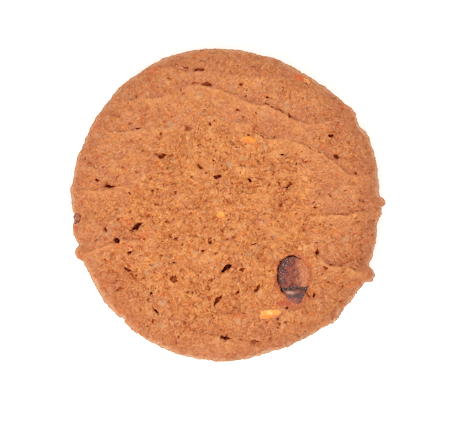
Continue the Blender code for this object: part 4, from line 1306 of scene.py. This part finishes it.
def make_rim_fruit(finish):
    """The small bit of fruit that shows in the left flank, its inner side pushed down into the dough."""
    bearing = math.radians(RIM_FRUIT_BEARING)
    out_x, out_y = RIM_FRUIT_REACH * math.cos(bearing), RIM_FRUIT_REACH * math.sin(bearing)
    spot = Vector((out_x, out_y, RIM_FRUIT_HEIGHT))
    bm = bmesh.new()
    lens(bm, Matrix.Translation(spot) @ Matrix.Rotation(bearing, 4, "Z"), RIM_FRUIT_HALF, 5)
    piece = finish_piece("flank_fruit", bm, finish, "dried_fruit", "rim_fruit")
    points = points_of(piece.data)
    push = noise_at(points, 0.8 * MM, octaves=3, seed=6.0) * 0.20 * MM
    ragged = noise_at(points, 0.7 * MM, octaves=2, seed=47.0)
    off_y = (points[:, 1] - spot.y) / MM
    # Its darker lower side is rind colour plus painted shade, and the skin share there also places painted
    # glints
    keep_shares(
        piece.data,
        film=0.75 * smoothstep((off_y + 1.5 * ragged + 0.3) / 0.6),
        dusty=0.15 * smoothstep((off_y + ragged + 0.4) / 0.8),
        rind=0.8 * smoothstep((-off_y + 0.8 * ragged - 0.4) / 0.4),
    )
    moved = points + normals_of(piece.data) * push[:, None]
    moved[:, 2] -= RIM_FRUIT_SINK * np.maximum(points[:, 0] - spot.x, 0.0)
    move_points(piece.data, moved)
    return piece


def scatter(name, finish, slot, spots, sizes, seed):
    """One piece of many small rough grains at the spots, each of its own shape and with its own tone."""
    rng = np.random.default_rng(seed)
    bm = bmesh.new()
    bmesh.ops.create_icosphere(bm, subdivisions=1, radius=1.0)
    corners = len(bm.verts)
    while len(bm.verts) < corners * len(spots):
        bmesh.ops.duplicate(bm, geom=bm.verts[:] + bm.edges[:] + bm.faces[:])
    bm.verts.ensure_lookup_table()
    bmesh.ops.delete(bm, geom=bm.verts[corners * len(spots) :], context="VERTS")
    piece = finish_piece(name, bm, finish, slot)
    grains = points_of(piece.data).reshape(len(spots), corners, 3)
    grains = grains * rng.uniform(*GRAIN_CORNERS, (len(spots), corners, 1))
    turns = np.linalg.qr(rng.normal(size=(len(spots), 3, 3)))[0]
    turns = turns * np.sign(np.linalg.det(turns))[:, None, None]
    stretch = rng.uniform(*GRAIN_STRETCH, (len(spots), 1, 3)) * sizes[:, None, None]
    grains = np.einsum("nij,nkj->nki", turns, grains * stretch) + spots[:, None, :]
    grains[..., 2] = np.maximum(grains[..., 2], OFF_FLOOR)
    move_points(piece.data, grains.reshape(-1, 3))
    keep_shares(piece.data, tone=np.repeat(rng.uniform(0.0, 1.0, len(spots)), corners))
    return piece


def pick_spots(dough, count, seed, weights):
    """Random points of the dough, by weight, with its normals there and the generator that drew them."""
    rng = np.random.default_rng(seed)
    chosen = rng.choice(len(weights), size=count, replace=False, p=weights / weights.sum())
    return points_of(dough.data)[chosen], normals_of(dough.data)[chosen], rng


def make_crumbs(dough, finish):
    """Loose and half-sunk crumbs, thick in the torn middle and thin near the edge."""
    mesh = dough.data
    depth = shares_of(mesh, "depth")
    clear = (depth < 1.6) * (shares_of(mesh, "pit") < 0.4) * (1.0 - shares_of(mesh, "flake"))
    clear = clear * (fruit_reach(*points_of(mesh)[:, :2].T) > 1.0)
    weights = clear * (1.0 - 0.85 * shares_of(mesh, "outer")) * (1.0 - 0.7 * np.clip(depth, 0.0, 1.0))
    patchy = noise_at(points_of(mesh), 3.0 * MM, octaves=2, seed=101.0)
    weights = weights * smoothstep(0.55 + 1.2 * patchy) + 1e-9
    spots, normals, rng = pick_spots(dough, CRUMB_COUNT, 5, weights)
    sizes = rng.uniform(*CRUMB_SIZES, CRUMB_COUNT) * MM
    spots = spots - normals * sizes[:, None] * 0.15
    return scatter("surface_crumbs", finish, "baked_dough", spots, sizes, 6)


def make_crumb_finish():
    """Crumbs of the same dough, each a little lighter or darker."""
    finish = Finish("dough_crumbs", roughness=0.78, specular=0.3)
    tone = finish.attribute("tone")
    finish.set("Base Color", finish.mix(tone, color(204, 108, 48), color(246, 170, 108)))
    return finish


def make_sugar(dough, finish):
    """A few bright sugar grains, mostly by the pits."""
    mesh = dough.data
    pit = shares_of(mesh, "pit")
    near_pit = smoothstep((pit - 0.05) / 0.1) * (pit < 0.45)
    weights = (0.004 + near_pit) * (shares_of(mesh, "depth") < 0.5)
    spots, normals, rng = pick_spots(dough, SUGAR_COUNT, 15, weights)
    sizes = rng.uniform(*SUGAR_SIZES, SUGAR_COUNT) * MM
    spots = spots + normals * sizes[:, None] * 0.3
    return scatter("sugar_grains", finish, "baked_dough", spots, sizes, 16)


def make_sugar_finish():
    """Clear-white sugar."""
    finish = Finish("sugar", roughness=0.25)
    finish.set("Base Color", color(248, 224, 200))
    return finish


def make_floor():
    """A plain white floor that glows a little, like a lit table."""
    bpy.ops.mesh.primitive_plane_add(size=FLOOR_SIZE)
    floor = bpy.context.object
    floor.name = "floor"
    finish = Finish("white_floor", roughness=0.9, specular=0.0)
    finish.set("Base Color", (0.85, 0.85, 0.85, 1.0))
    finish.set("Emission Color", (1.0, 1.0, 1.0, 1.0))
    finish.set("Emission Strength", FLOOR_GLOW)
    floor.data.materials.append(finish.material)


def add_light(name, place, size, power):
    """A square soft light at a place, turned to the origin."""
    data = bpy.data.lights.new(name, "AREA")
    data.size = size
    data.energy = power
    lamp = bpy.data.objects.new(name, data)
    lamp.location = place
    lamp.rotation_euler = (-Vector(place)).to_track_quat("-Z", "Y").to_euler()
    bpy.context.scene.collection.objects.link(lamp)


def sharpen_picture():
    """Sharpens the picture a little, as a camera does."""
    bpy.context.scene.use_nodes = True
    tree = bpy.context.scene.node_tree
    filter_node = tree.nodes.new("CompositorNodeFilter")
    filter_node.filter_type = "SHARPEN_DIAMOND"
    filter_node.inputs["Fac"].default_value = SHARPENING
    tree.links.new(tree.nodes["Render Layers"].outputs["Image"], filter_node.inputs["Image"])
    tree.links.new(filter_node.outputs["Image"], tree.nodes["Composite"].inputs["Image"])


def make_studio():
    """An even white room of light, with a soft key from the near left."""
    world = bpy.data.worlds.new("studio")
    world.use_nodes = True
    world.node_tree.nodes["Background"].inputs["Color"].default_value = (1.0, 1.0, 1.0, 1.0)
    world.node_tree.nodes["Background"].inputs["Strength"].default_value = ROOM_LIGHT
    bpy.context.scene.world = world
    add_light("key", LAMP_PLACE, LAMP_SIZE, LAMP_POWER)
    sharpen_picture()
    bpy.context.scene.view_settings.view_transform = "Standard"
    bpy.context.scene.view_settings.look = "None"


def make_camera():
    """Looks straight down, with the cookie as large and at the same place as in the photograph."""
    pixel = COOKIE_WIDTH / COOKIE_PIXELS
    right, up = COOKIE_OFF_PIXELS
    data = bpy.data.cameras.new("camera")
    data.sensor_width = SENSOR_WIDTH
    data.lens = LENS_LENGTH
    data.clip_start = 0.01
    camera = bpy.data.objects.new("camera", data)
    distance = PICTURE_PIXELS * pixel * LENS_LENGTH / SENSOR_WIDTH
    shift = Vector((-right * pixel, -up * pixel, WIDEST_HEIGHT + distance))
    camera.location = shift - outline_middle()
    bpy.context.scene.collection.objects.link(camera)
    bpy.context.scene.camera = camera


make_camera()
make_studio()
make_floor()
dough = make_dough(make_dough_finish())
make_crumbs(dough, make_crumb_finish())
make_sugar(dough, make_sugar_finish())
make_peel_bits(make_peel_finish())
fruit_finish = make_fruit_finish()
make_fruit(fruit_finish)
make_rim_fruit(fruit_finish)

for piece in pieces:
    piece.data.transform(Matrix.Translation(-outline_middle()))

bpy.context.view_layer.update()
